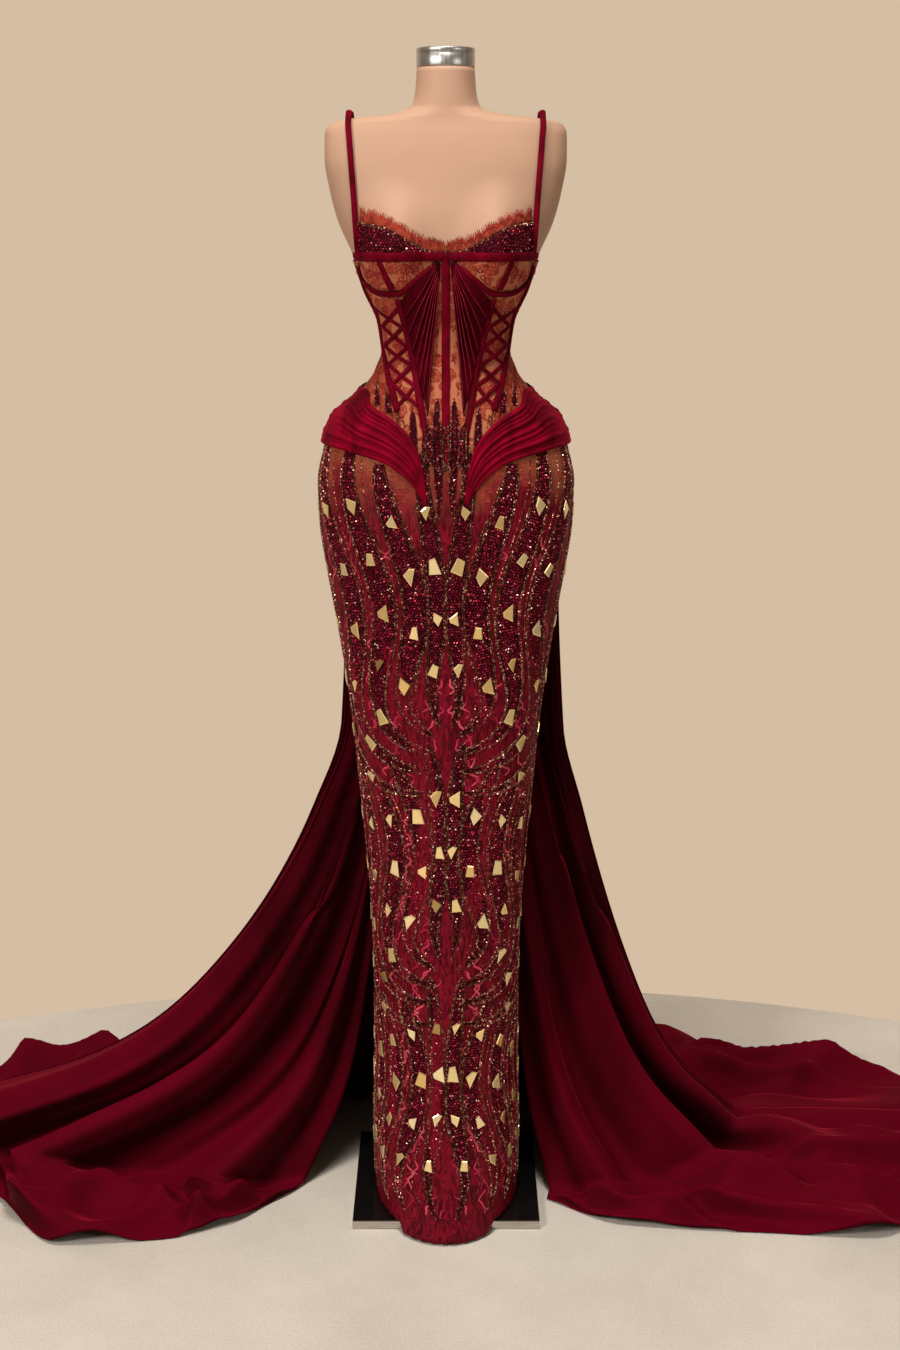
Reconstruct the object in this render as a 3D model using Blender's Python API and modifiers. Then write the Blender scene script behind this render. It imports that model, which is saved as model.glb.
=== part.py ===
"""Evening dress with a velvet train, standing on a limbless dress form.

Metres, +Z up. The origin is the centre of the base plate's underside, the front faces -Y and +X is the viewer's
right. Every piece of the gown is an open sheet, lofted through sections that are worked out from the tables below,
with Solidify for the wall. Sheets that lie on each other are layers of one surface, moved out along its normals.
"""

import math

import bmesh
import bpy
import numpy as np

# ---------------------------------------------------------------------------------------------- driving dimensions
HEIGHT = 1.750  # to the top of the neck cap
PLATE_SIDE, PLATE_THICK = 0.290, 0.0145
POLE_RADIUS = 0.0125
FORM_BOTTOM = 0.800
NECK_CUT = 1.724
SEAM_Z = 1.215  # bodice to skirt, hidden by the hip drapes at the sides
GAP = 0.0003
LACE_WALL, SKIRT_WALL, BAND_WALL, RIBBON_WALL, VELVET_WALL = 0.0012, 0.0014, 0.0018, 0.0010, 0.0014
BASE_OFF, BAND_OFF, OVER_OFF = 0.0012, 0.0036, 0.0058  # layers over the form's surface
ATTACH_Z = 1.210  # the train's seam, under the drapes
ATTACH_IN, ATTACH_OUT = 0.0044, 0.0095  # gore sheets at that seam: front gores under back gores
DRAPE_OFF, DRAPE_OFF_BACK = 0.0044, 0.0130
PLEAT_HIGH = 0.0055
BAND_WIDTH, BUSK_WIDTH, TOP_BAND_WIDTH, RIBBON_WIDTH, STRAP_WIDTH = 0.0085, 0.0100, 0.0110, 0.0060, 0.0090

# The figure's sections: z, half width, front depth, back depth, superellipse exponent. Below the form it is the skirt.
FORM = [
    (1.724, 0.0413, 0.0413, 0.0413, 2.0),
    (1.690, 0.0440, 0.0440, 0.0440, 2.0),
    (1.672, 0.0500, 0.0455, 0.0480, 2.0),
    (1.662, 0.0800, 0.0470, 0.0520, 2.1),
    (1.656, 0.1350, 0.0480, 0.0560, 2.3),
    (1.649, 0.1640, 0.0500, 0.0610, 2.4),
    (1.635, 0.1715, 0.0550, 0.0700, 2.5),
    (1.600, 0.1720, 0.0660, 0.0860, 2.6),
    (1.560, 0.1660, 0.0760, 0.0980, 2.5),
    (1.517, 0.1550, 0.0850, 0.1030, 2.4),
    (1.464, 0.1320, 0.0900, 0.1010, 2.3),
    (1.433, 0.1215, 0.0910, 0.0970, 2.2),
    (1.405, 0.1095, 0.0900, 0.0920, 2.2),
    (1.376, 0.0975, 0.0860, 0.0870, 2.1),
    (1.333, 0.0912, 0.0830, 0.0830, 2.1),
    (1.305, 0.1000, 0.0880, 0.0870, 2.1),
    (1.276, 0.1215, 0.0970, 0.0950, 2.1),
    (1.247, 0.1495, 0.1060, 0.1040, 2.1),
    (1.218, 0.1670, 0.1130, 0.1120, 2.1),
    (1.188, 0.1760, 0.1180, 0.1190, 2.1),
    (1.144, 0.1845, 0.1230, 0.1250, 2.1),
    (1.084, 0.1830, 0.1250, 0.1260, 2.1),
    (1.024, 0.1750, 0.1240, 0.1240, 2.1),
    (0.960, 0.1640, 0.1220, 0.1210, 2.1),
    (0.880, 0.1510, 0.1200, 0.1170, 2.1),
    (0.791, 0.1390, 0.1200, 0.1140, 2.1),
    (0.687, 0.1290, 0.1220, 0.1110, 2.1),
    (0.588, 0.1200, 0.1240, 0.1090, 2.1),
    (0.501, 0.1135, 0.1270, 0.1080, 2.1),
    (0.365, 0.1095, 0.1340, 0.1080, 2.1),
    (0.261, 0.1095, 0.1430, 0.1080, 2.1),
    (0.180, 0.1108, 0.1540, 0.1080, 2.1),
    (0.100, 0.1120, 0.1700, 0.1080, 2.1),
    (0.000, 0.1117, 0.1940, 0.1060, 2.1),
]
BUST = dict(x=0.073, z=1.468, wide=0.067, above=0.115, below=0.085, high=0.034)  # one soft mound each side

# Seams and bands of one half of the front, read as x at z (vertical ones) or z at x (crossing ones).
PRINCESS = [(1.416, 0.0670), (1.362, 0.0535), (1.313, 0.0430), (1.256, 0.0340), (1.200, 0.0220)]  # z, x
SIDE_BONE = [(1.461, 0.1235), (1.422, 0.1125), (1.382, 0.0940), (1.334, 0.0865), (1.294, 0.0785), (1.246, 0.0645)]  # z, x
UNDERWIRE = [(0.1210, 1.4580), (0.1130, 1.4340), (0.0860, 1.4195), (0.0660, 1.4205), (0.0450, 1.4370), (0.0170, 1.4580)]  # x, z
NECKLINE = [(0.1260, 1.5160), (0.0860, 1.5080), (0.0530, 1.4910), (0.0180, 1.4750), (0.0000, 1.4745)]  # x, z
EDGING = [(0.1260, 1.5390), (0.0960, 1.5300), (0.0750, 1.5170), (0.0300, 1.4960), (0.0000, 1.4860)]  # x, z
BUST_LINE = 1.468
CUP_STRIP = [(1.4600, 0.0890), (1.4290, 0.0755)]  # z, x
# The pleated fan, a row for a share of the way from its outer fold to its inner one: where the fold starts by the top of
# the busk, where it ends beside the princess band, and how far it bows up between.
FAN = [
    (0.00, 0.0180, 1.4480, 0.0590, 1.4120, 0.0032),
    (0.20, 0.0165, 1.4480, 0.0508, 1.3760, 0.0030),
    (0.40, 0.0145, 1.4460, 0.0432, 1.3430, 0.0008),
    (0.60, 0.0120, 1.4440, 0.0368, 1.3100, 0.0000),
    (0.80, 0.0100, 1.4420, 0.0306, 1.2780, 0.0000),
    (1.00, 0.0080, 1.4400, 0.0228, 1.2480, 0.0000),
]
FAN_PLEATS = 6
# A hip drape's two edges, front and back: angle from the front, z of its upper edge; then the same of its lower edge.
DRAPE_FRONT = [  # share, upper angle, upper z, lower angle, lower z
    (0.00, 90.0, 1.279, 90.0, 1.198),
    (0.22, 66.0, 1.278, 66.0, 1.198),
    (0.42, 47.0, 1.259, 45.0, 1.193),
    (0.62, 28.0, 1.242, 29.0, 1.184),
    (0.80, 14.5, 1.212, 17.0, 1.163),
    (0.92, 9.0, 1.168, 10.6, 1.140),
    (1.00, 7.5, 1.128, 8.3, 1.123),
]
DRAPE_BACK = [
    (0.00, 90.0, 1.279, 90.0, 1.198),
    (0.50, 134.0, 1.284, 134.0, 1.186),
    (1.00, 179.7, 1.272, 179.7, 1.176),
]
PLEATS = 7

# How far out the train has swept, as a share, at each share of its height: straight down first, then low over the floor.
FALL = [(1.0, 0.0), (0.82, 0.0), (0.61, 0.012), (0.49, 0.075), (0.373, 0.165), (0.25, 0.30), (0.159, 0.44), (0.095, 0.60), (0.032, 0.86), (0.0, 1.0)]
# The train, a row for each ridge or valley: where it is sewn (angle from the front), where it meets the floor, a power on
# FALL (over 1 sweeps out later), how far it is tucked in on the way down, how high it lies, and where its hem ends.
TRAIN_COLUMNS = "angle touch_x touch_y late tuck lay hem_x hem_y".split()
TRAIN = {
    "train_left": [
        (-151, -0.228, -0.010, 1.00, 0.000, 0.008, -0.242, -0.030),
        (-147, -0.370, -0.060, 1.10, 0.000, 0.016, -0.345, -0.135),
        (-143, -0.500, 0.020, 1.15, 0.020, 0.006, -0.440, -0.178),
        (-139, -0.660, -0.010, 1.10, 0.000, 0.034, -0.590, -0.190),
        (-134, -0.740, 0.070, 1.10, 0.020, 0.008, -0.720, -0.050),
        (-128, -0.820, 0.080, 0.97, 0.000, 0.048, -0.850, 0.030),
        (-121, -0.900, 0.190, 1.00, 0.000, 0.045, -0.960, 0.180),
    ],
    "train_back_left": [
        (-121, -0.900, 0.1912, 1.00, 0.000, 0.045, -0.960, 0.1812),
        (-127, -0.760, 0.290, 1.05, 0.000, 0.008, -0.860, 0.350),
        (-134, -0.560, 0.340, 0.95, 0.000, 0.034, -0.740, 0.430),
        (-142, -0.380, 0.280, 1.00, 0.000, 0.008, -0.560, 0.420),
        (-151, -0.250, 0.350, 0.85, 0.000, 0.026, -0.380, 0.520),
        (-161, -0.150, 0.280, 0.90, 0.000, 0.008, -0.220, 0.500),
        (-171, -0.070, 0.350, 0.85, 0.000, 0.026, -0.100, 0.570),
        (-179.7, -0.0003, 0.300, 0.90, 0.000, 0.008, -0.0005, 0.540),
    ],
    "train_back_right": [
        (179.7, 0.0003, 0.300, 0.90, 0.000, 0.008, 0.0005, 0.540),
        (171, 0.070, 0.360, 0.85, 0.000, 0.026, 0.110, 0.580),
        (161, 0.140, 0.290, 0.90, 0.000, 0.008, 0.240, 0.510),
        (151, 0.220, 0.360, 0.85, 0.000, 0.030, 0.400, 0.530),
        (141, 0.310, 0.300, 0.85, 0.000, 0.008, 0.560, 0.470),
        (131, 0.400, 0.330, 0.75, 0.000, 0.034, 0.720, 0.430),
        (120, 0.450, 0.270, 0.80, 0.000, 0.012, 0.850, 0.360),
        (108, 0.500, 0.2030, 0.75, 0.000, 0.030, 0.978, 0.2230),
    ],
    "train_right": [
        (150, 0.165, -0.035, 1.00, 0.000, 0.006, 0.160, -0.058),
        (146, 0.250, -0.060, 0.90, 0.010, 0.014, 0.270, -0.130),
        (142, 0.320, -0.020, 0.85, 0.010, 0.008, 0.450, -0.155),
        (135, 0.430, 0.010, 0.80, 0.000, 0.036, 0.650, -0.170),
        (129, 0.430, 0.070, 0.85, 0.010, 0.008, 0.760, -0.100),
        (121, 0.480, 0.110, 0.75, 0.000, 0.036, 0.880, 0.040),
        (114, 0.470, 0.150, 0.80, 0.005, 0.010, 0.940, 0.130),
        (108, 0.500, 0.200, 0.75, 0.000, 0.030, 0.978, 0.220),
    ],
}

# --------------------------------------------------------------------------------------------------- curves, surface


def slopes(xs, ys):
    """Slopes of a smooth curve through the rows that never overshoots them."""
    h, d = np.diff(xs), np.diff(ys) / np.diff(xs)
    m = np.zeros(len(xs))
    m[0], m[-1] = d[0], d[-1]
    for i in range(1, len(xs) - 1):
        if d[i - 1] * d[i] > 0:
            w1, w2 = 2 * h[i] + h[i - 1], h[i] + 2 * h[i - 1]
            m[i] = (w1 + w2) / (w1 / d[i - 1] + w2 / d[i])
    return m


def curve(xs, ys, x):
    xs, ys = np.asarray(xs, float), np.asarray(ys, float)
    if xs[0] > xs[-1]:
        xs, ys = xs[::-1], ys[::-1]
    m = slopes(xs, ys)
    x = np.clip(np.asarray(x, float), xs[0], xs[-1])
    i = np.clip(np.searchsorted(xs, x, side="right") - 1, 0, len(xs) - 2)
    h = xs[i + 1] - xs[i]
    t = (x - xs[i]) / h
    return (
        (2 * t**3 - 3 * t**2 + 1) * ys[i]
        + (t**3 - 2 * t**2 + t) * h * m[i]
        + (3 * t**2 - 2 * t**3) * ys[i + 1]
        + (t**3 - t**2) * h * m[i + 1]
    )


def read(table, column, x):
    return curve([row[0] for row in table], [row[column] for row in table], x)


def figure(theta, z):
    """Points of the figure at an angle from the front (towards +X) and a height."""
    a, f, b, n = (read(FORM, i, z) for i in (1, 2, 3, 4))
    s, c = np.sin(theta), np.cos(theta)
    x = a * np.sign(s) * np.abs(s) ** (2 / n)
    y = np.where(c > 0, -f, b) * np.abs(c) ** (2 / n)
    reach = np.where(z > BUST["z"], BUST["above"], BUST["below"])
    r2 = ((np.abs(x) - BUST["x"]) / BUST["wide"]) ** 2 + ((z - BUST["z"]) / reach) ** 2
    mound = BUST["high"] * np.cos(np.sqrt(np.clip(r2, 0, 1)) * math.pi / 2) ** 2 * np.clip(3 * c, 0, 1)
    return np.stack([x, y - mound, z], -1)


def surface(theta, z, off):
    """The same, moved out along the surface's normal."""
    theta, z, off = np.broadcast_arrays(np.asarray(theta, float), np.asarray(z, float), np.asarray(off, float))
    d = 2e-3
    n = np.cross(figure(theta + d, z) - figure(theta - d, z), figure(theta, z + d) - figure(theta, z - d))
    n /= np.linalg.norm(n, axis=-1, keepdims=True)
    return figure(theta, z) + n * off[..., None]


def angle_of(x, z):
    """The angle from the front at which the figure is x wide at z."""
    a, n = read(FORM, 1, z), read(FORM, 4, z)
    return np.arcsin(np.clip(np.abs(x) / a, 0, 1) ** (n / 2)) * np.sign(x)


def levels(low, high, step=0.0155):
    return np.linspace(low, high, max(2, int(round((high - low) / step)) + 1))


# ------------------------------------------------------------------------------------------------------ collections
for old in list(bpy.data.objects):
    bpy.data.objects.remove(old, do_unlink=True)
PARTS = bpy.data.collections.new("evening_dress_on_form")
bpy.context.scene.collection.children.link(PARTS)


def material(name, rgb, rough, metal=0.0, alpha=1.0):
    mat = bpy.data.materials.new(name)
    mat.use_nodes = True
    shader = mat.node_tree.nodes["Principled BSDF"]
    shader.inputs["Base Color"].default_value = (*rgb, 1.0)
    shader.inputs["Roughness"].default_value = rough
    shader.inputs["Metallic"].default_value = metal
    shader.inputs["Alpha"].default_value = alpha
    return mat


COLOURS = {  # name: colour, roughness, metallic
    "lace": ((0.48, 0.16, 0.08), 0.8, 0.0),
    "velvet": ((0.20, 0.0, 0.018), 0.7, 0.0),
    "beaded_lace": ((0.22, 0.012, 0.03), 0.5, 0.0),
    "train_velvet": ((0.09, 0.0, 0.010), 0.8, 0.0),
    "form_skin": ((0.73, 0.45, 0.30), 0.55, 0.0),
    "chrome": ((0.8, 0.8, 0.8), 0.15, 1.0),
    "plate_black": ((0.01, 0.01, 0.01), 0.12, 0.0),
}


def place(name, mesh, colour):
    obj = bpy.data.objects.new(name, mesh)
    rgb, rough, metal = COLOURS[colour]
    mesh.materials.append(material(name, rgb, rough, metal))
    PARTS.objects.link(obj)
    return obj


def mesh_of(name, verts, faces):
    mesh = bpy.data.meshes.new(name)
    mesh.from_pydata([tuple(v) for v in verts], [], faces)
    return mesh


def sheet(name, grid, wall, colour, around=False):
    """A cloth panel: the loft through a grid of points, rows by columns, with a wall on its outer side."""
    rows, cols = grid.shape[:2]
    verts = grid.reshape(-1, 3)
    faces = []
    for i in range(rows - 1):
        for j in range(cols if around else cols - 1):
            k = (j + 1) % cols
            faces.append((i * cols + j, i * cols + k, (i + 1) * cols + k, (i + 1) * cols + j))
    obj = place(name, mesh_of(name, verts, faces), colour)
    shell = obj.modifiers.new("wall", "SOLIDIFY")
    shell.thickness = wall
    shell.offset = 1.0
    shell.use_even_offset = False
    shell.use_quality_normals = True
    for poly in obj.data.polygons:
        poly.use_smooth = True
    return obj


def on_figure(name, theta, z, off, wall, colour):
    """A sheet whose rows run upwards and whose columns run towards +X, so its normals face out."""
    return sheet(name, surface(theta, z, off), wall, colour)


def two_sides(build):
    for side, label in ((-1, "left"), (1, "right")):
        build(side, label)


def panel(name, side, inner, outer, top, columns, low, wall=LACE_WALL, off=BASE_OFF, colour="lace"):
    """A body panel between two seam curves, angle at z, from a low edge up to top(angle share)."""
    share = np.linspace(0, 1, columns + 1)
    heights = levels(low, 1.382)
    rows = []
    for z in heights:
        a, b = inner(z), outer(z)
        rows.append([(a + (b - a) * s, z) for s in share])
    last = rows[-1]
    tops = [top(angle) for angle, _ in last]
    extra = max(1, int(round((max(tops) - heights[-1]) / 0.0125)))
    for step in range(1, extra + 1):
        row = []
        for s, crown in zip(share, tops):
            z = heights[-1] + (crown - heights[-1]) * step / extra
            a, b = inner(z), outer(z)
            row.append((a + (b - a) * s, z))
        rows.append(row)
    grid = np.array(rows)
    if side < 0:
        grid = grid[:, ::-1] * np.array([-1, 1])
    return on_figure(name, grid[..., 0], grid[..., 1], off, wall, colour)


def ribbon(name, theta, z, width, off, wall, colour, ends=(0.0, 0.0), across=1):
    """A flat band along a line on the figure, its width laid across that line."""
    line = surface(theta, z, off)
    normal = surface(theta, z, off + 0.001) - line
    normal /= np.linalg.norm(normal, axis=1, keepdims=True)
    along = np.gradient(line, axis=0)
    along /= np.linalg.norm(along, axis=1, keepdims=True)
    side = np.cross(along, normal)
    side /= np.linalg.norm(side, axis=1, keepdims=True)
    line[0] += along[0] * ends[0]
    line[-1] -= along[-1] * ends[1]
    spread = np.linspace(-0.5, 0.5, across + 1)
    grid = line[:, None, :] + side[:, None, :] * (spread * width)[None, :, None]
    return sheet(name, grid, wall, colour)


# --------------------------------------------------------------------------------------------------- the dress form
def ring_points(z, count, off):
    theta = np.linspace(0, 2 * math.pi, count, endpoint=False)
    return surface(theta, np.full(count, z), np.full(count, off))


def form_torso():
    """The limbless torso: sections a finger's width apart, closed flat at the neck cut and below the hips."""
    count = 32
    heights = [FORM_BOTTOM, 0.88, 0.96, 1.04, 1.10, 1.15, 1.19, 1.22, 1.245, 1.265, 1.285, 1.305, 1.33, 1.355, 1.38, 1.405]
    heights += [1.425, 1.445, 1.468, 1.492, 1.517, 1.545, 1.575, 1.605, 1.630, 1.643, 1.650, 1.656, 1.660, 1.665, 1.673, 1.690, NECK_CUT]
    inset = [-0.0040 if z < 1.30 else -0.0030 if z < 1.38 else -0.0065 if z < 1.50 else -0.0030 if z < 1.53 else -0.0008 for z in heights]  # a little in where the gown covers it
    verts, faces = [], []
    for z, off in zip(heights, inset):
        verts += [tuple(p) for p in ring_points(z, count, off)]
    for i in range(len(heights) - 1):
        for j in range(count):
            k = (j + 1) % count
            faces.append((i * count + j, i * count + k, (i + 1) * count + k, (i + 1) * count + j))
    faces.append(tuple(range(count))[::-1])
    top = (len(heights) - 1) * count
    faces.append(tuple(range(top, top + count)))
    obj = place("form_torso", mesh_of("form_torso", verts, faces), "form_skin")
    obj.data.polygons.foreach_set("use_smooth", [len(p.vertices) == 4 for p in obj.data.polygons])
    return obj


def turned(name, radius, low, high, colour, sides=32, bevel=0.0):
    bpy.ops.mesh.primitive_cylinder_add(vertices=sides, radius=radius, depth=high - low, location=(0, 0, (low + high) / 2))
    obj = bpy.context.object
    for col in list(obj.users_collection):
        col.objects.unlink(obj)
    PARTS.objects.link(obj)
    obj.name = obj.data.name = name
    rgb, rough, metal = COLOURS[colour]
    obj.data.materials.append(material(name, rgb, rough, metal))
    if bevel:
        edge = obj.modifiers.new("edge", "BEVEL")
        edge.width, edge.segments, edge.limit_method = bevel, 2, "ANGLE"
    return obj


def base_plate():
    mesh = bpy.data.meshes.new("base_plate")
    bm = bmesh.new()
    bmesh.ops.create_cube(bm, size=1.0)
    bmesh.ops.scale(bm, verts=bm.verts, vec=(PLATE_SIDE, PLATE_SIDE, PLATE_THICK))
    bmesh.ops.translate(bm, verts=bm.verts, vec=(0, 0, PLATE_THICK / 2))
    bm.to_mesh(mesh)
    bm.free()
    obj = place("base_plate", mesh, "plate_black")
    edge = obj.modifiers.new("edge", "BEVEL")
    edge.width, edge.segments, edge.limit_method = 0.0015, 2, "ANGLE"


base_plate()
turned("pole", POLE_RADIUS, PLATE_THICK + GAP, FORM_BOTTOM - GAP, "chrome", sides=20)
form_torso()
turned("neck_cap", 0.0410, NECK_CUT + GAP, HEIGHT, "chrome", bevel=0.002)

# ------------------------------------------------------------------------------------------------------- the bodice
HALF_SEAM = 0.0005  # half the gap at a seam that a band covers


def seam(angle, way):
    """A seam curve moved half a seam's gap to one side."""
    return lambda z: angle(z) + way * HALF_SEAM / 0.09


def centre(z):
    return 0.0


def princess(z):
    return float(angle_of(read(PRINCESS, 1, min(z, 1.416)), min(z, 1.416)))


def side_bone(z):
    return float(angle_of(read(SIDE_BONE, 1, z), z))


def side_seam(z):
    return math.pi / 2


def centre_back(z):
    return math.pi - 0.003


def wire_top(angle):
    """Height of the cup seam over an angle, just under it."""
    x = float(figure(np.float64(angle), np.float64(1.43))[0])
    return float(read(UNDERWIRE, 1, np.clip(x, 0.017, 0.121))) - 0.0010


def side_top(angle):
    share = np.clip((angle - 1.05) / (math.pi / 2 - 1.05), 0, 1)
    return float(1.458 + 0.004 * share)


def back_top(angle):
    share = np.clip((angle - math.pi / 2) / (math.pi / 2), 0, 1)
    return float(1.462 - 0.012 * math.sin(share * math.pi / 2))


def bodice_half(side, label):
    low = SEAM_Z + GAP
    panel(f"lace_front_{label}", side, seam(centre, 1), seam(princess, -1), wire_top, 4, low)
    panel(f"lace_side_front_{label}", side, seam(princess, 1), seam(side_bone, -1), wire_top, 3, low)
    panel(f"lace_side_{label}", side, seam(side_bone, 1), seam(side_seam, -1), side_top, 5, low)
    panel(f"lace_back_{label}", side, seam(side_seam, 1), centre_back, back_top, 6, low)


two_sides(bodice_half)


def strip_between(name, side, x, low, high, rows, off, wall, colour):
    """A panel between two edges given as z at x, such as a cup."""
    share = np.linspace(0, 1, rows + 1)
    z = low[None, :] + (high - low)[None, :] * share[:, None]
    xs = np.broadcast_to(x, z.shape)
    if side < 0:
        xs, z = -xs[:, ::-1], z[:, ::-1]
    return on_figure(name, angle_of(xs, z), z, off, wall, colour)


def cups(side, label):
    x = np.linspace(0.0190, 0.1190, 8)
    strip_between(f"cup_lower_{label}", side, x, read(UNDERWIRE, 1, x) + 0.0010, np.full(8, BUST_LINE - GAP), 3, BASE_OFF, LACE_WALL, "lace")
    x = np.linspace(0.0006, 0.1240, 9)
    strip_between(f"cup_upper_{label}", side, x, np.full(9, BUST_LINE + GAP), read(NECKLINE, 1, x), 3, BASE_OFF, 0.0016, "beaded_lace")
    x = np.linspace(0.0006, 0.1185, 9)
    high = read(EDGING, 1, x)
    high = high + np.where(np.arange(9) % 2 == 0, 0.0, -0.004)  # its scalloped edge
    strip_between(f"lace_edging_{label}", side, x, read(NECKLINE, 1, x) + GAP, high, 1, BASE_OFF + 0.0006, 0.0010, "lace")


two_sides(cups)


def bands(side, label):
    z = levels(1.200, 1.412)
    ribbon(f"princess_band_{label}", side * angle_of(read(PRINCESS, 1, z), z), z, BAND_WIDTH, BAND_OFF, BAND_WALL, "velvet")
    z = levels(1.2540, 1.4545)
    x = read(SIDE_BONE, 1, z)
    ribbon(f"side_band_{label}", side * angle_of(x, z), z, BAND_WIDTH, BAND_OFF, BAND_WALL, "velvet")
    x = np.linspace(0.0065, 0.1250, 9)
    ribbon(f"top_band_{label}", side * angle_of(x, np.full(9, BUST_LINE)), np.full(9, BUST_LINE), TOP_BAND_WIDTH, BAND_OFF + 0.0008, BAND_WALL, "velvet")
    z = levels(CUP_STRIP[1][0], CUP_STRIP[0][0], 0.010)
    ribbon(f"cup_strip_{label}", side * angle_of(read(CUP_STRIP, 1, z), z), z, BAND_WIDTH, BAND_OFF, BAND_WALL, "velvet")


def underwire(side, label):
    x = np.array([0.0215, 0.0280, 0.0350, 0.0450, 0.0550, 0.0660, 0.0760, 0.0860, 0.0960, 0.1050])
    z = read(UNDERWIRE, 1, x)
    ribbon(f"underwire_{label}", side * angle_of(x, z), z - 0.0015, 0.0065, BAND_OFF + 0.0004, BAND_WALL, "velvet")


two_sides(bands)
two_sides(underwire)
z = levels(1.200, 1.4600)
ribbon("busk", np.zeros(len(z)), z, BUSK_WIDTH, BAND_OFF, BAND_WALL, "velvet", across=2)


def pleated(name, table, side, base, samples, wall, colour, high, rows_per_pleat=2, angles=False, pleats=PLEATS):
    """Pleats that run along a strip between two edges: rows across it step from fold to fold, columns run along it."""
    t = np.array(samples)
    s = np.linspace(0, 1, pleats * rows_per_pleat + 1)
    first, last = (read(table, 1, t), read(table, 2, t)), (read(table, 3, t), read(table, 4, t))
    u = first[0][None, :] + (last[0] - first[0])[None, :] * s[:, None]
    z = first[1][None, :] + (last[1] - first[1])[None, :] * s[:, None]
    theta = np.radians(u) if angles else angle_of(u, z)
    fold = np.abs(np.sin(s * pleats * math.pi))[:, None]
    spread = np.linalg.norm(np.stack([(last[0] - first[0]) * (0.0022 if angles else 1), last[1] - first[1]]), axis=0)
    off = base(theta, z) + fold * np.minimum(high, spread / pleats * 0.7)[None, :]
    return theta, z, off


def fan(side, label):
    """Pleats ruled from the top of the busk to the princess band, a fold on every second row."""
    t = np.linspace(0, 1, 12)[None, :]
    share = np.linspace(0, 1, 2 * FAN_PLEATS + 1)
    top_x, top_z, end_x, end_z, bow = (read(FAN, i, share)[:, None] for i in range(1, 6))
    x = top_x + (end_x - top_x) * t
    z = top_z + (end_z - top_z) * t + bow * 4 * t * (1 - t)
    gap = np.hypot(x[0] - x[-1], z[0] - z[-1]) / FAN_PLEATS
    fold = (np.arange(len(share)) % 2)[:, None] * np.minimum(0.0040, 0.45 * gap)[None, :]
    grid = surface(angle_of(x, z), z, BAND_OFF + 0.0018 + fold)
    if side < 0:
        grid = grid * np.array([-1, 1, 1])
        grid = grid[:, ::-1]
    sheet(f"pleat_fan_{label}", grid, VELVET_WALL, "velvet")


def drape_base(theta, z):
    """Close to the lace at the upper edge, out over the train's seam at the side and back below it."""
    share = np.clip((np.abs(theta) - math.radians(72)) / math.radians(34), 0, 1)
    down = np.clip((1.262 - z) / 0.030, 0, 1)
    return DRAPE_OFF + (DRAPE_OFF_BACK - DRAPE_OFF) * share * share * (3 - 2 * share) * down * down * (3 - 2 * down)


def drapes(side, label):
    for part, table, samples in (
        ("front", DRAPE_FRONT, [0.006, 0.11, 0.22, 0.33, 0.44, 0.55, 0.66, 0.76, 0.85, 0.93, 1.0]),
        ("back", DRAPE_BACK, [0.0025, 0.13, 0.26, 0.38, 0.50, 0.62, 0.74, 0.87, 1.0]),
    ):
        theta, z, off = pleated("drape", table, side, drape_base, samples, VELVET_WALL, "velvet", PLEAT_HIGH, angles=True)
        grid = surface(theta, z, off)
        if side < 0:
            grid = grid * np.array([-1, 1, 1])
        if (part == "front") != (side > 0):
            grid = grid[:, ::-1]
        sheet(f"hip_drape_{part}_{label}", grid, VELVET_WALL, "velvet")


two_sides(fan)
two_sides(drapes)

# Ribbon lacing between the princess band and the side band: two zigzags on each side, one over the other.
LACING_LOW, LACING_HIGH, LACING_TURNS = 1.262, 1.398, 5


def lacing(side, label):
    for layer, phase, off in (("under", 0, BAND_OFF), ("over", 1, OVER_OFF)):
        knots = []
        for k in range(LACING_TURNS + 1):
            z = LACING_LOW + (LACING_HIGH - LACING_LOW) * k / LACING_TURNS
            near, far = float(read(PRINCESS, 1, z)) + 0.0105, float(read(SIDE_BONE, 1, z)) - 0.0105
            knots.append((near if (k + phase) % 2 else far, z))
        x, z = [knots[0][0]], [knots[0][1]]
        for (x0, z0), (x1, z1) in zip(knots, knots[1:]):
            for share in (1 / 3, 2 / 3, 1.0):
                x.append(x0 + (x1 - x0) * share)
                z.append(z0 + (z1 - z0) * share)
        x, z = np.array(x), np.array(z)
        ribbon(f"lacing_{layer}_{label}", side * angle_of(x, z), z, RIBBON_WIDTH, off, RIBBON_WALL, "velvet")


two_sides(lacing)


def strap(side, label):
    """Up from the cup's outer corner, over the shoulder and down to the back's top edge."""
    points = []
    for z in (1.5190, 1.545, 1.575, 1.605, 1.630, 1.645):
        x = 0.1245 + 0.0105 * (z - 1.519) / (1.645 - 1.519)
        points.append(surface(angle_of(np.float64(x), np.float64(z)), z, 0.0042))
    points.append(np.array([0.1355, -0.014, 1.6640]))
    points.append(np.array([0.1350, 0.022, 1.6640]))
    for z in (1.645, 1.620, 1.590, 1.555, 1.520, 1.490, 1.4545):
        x = 0.1330 - 0.0330 * (1.645 - z) / (1.645 - 1.4545)
        points.append(surface(math.pi - angle_of(np.float64(x), np.float64(z)), z, 0.0046))
    line = np.array(points)
    line[:, 0] *= side
    along = np.gradient(line, axis=0)
    along /= np.linalg.norm(along, axis=1, keepdims=True)
    sideways = np.cross(along, np.array([0.0, 0.0, 1.0]))
    across = np.array([1.0, 0.0, 0.0])
    across = across[None, :] - along * (along @ across)[:, None]
    across /= np.linalg.norm(across, axis=1, keepdims=True)
    grid = line[:, None, :] + across[:, None, :] * (np.array([-0.5, 0.5]) * STRAP_WIDTH)[None, :, None]
    sheet(f"strap_{label}", grid, 0.0022, "velvet")


two_sides(strap)


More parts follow.
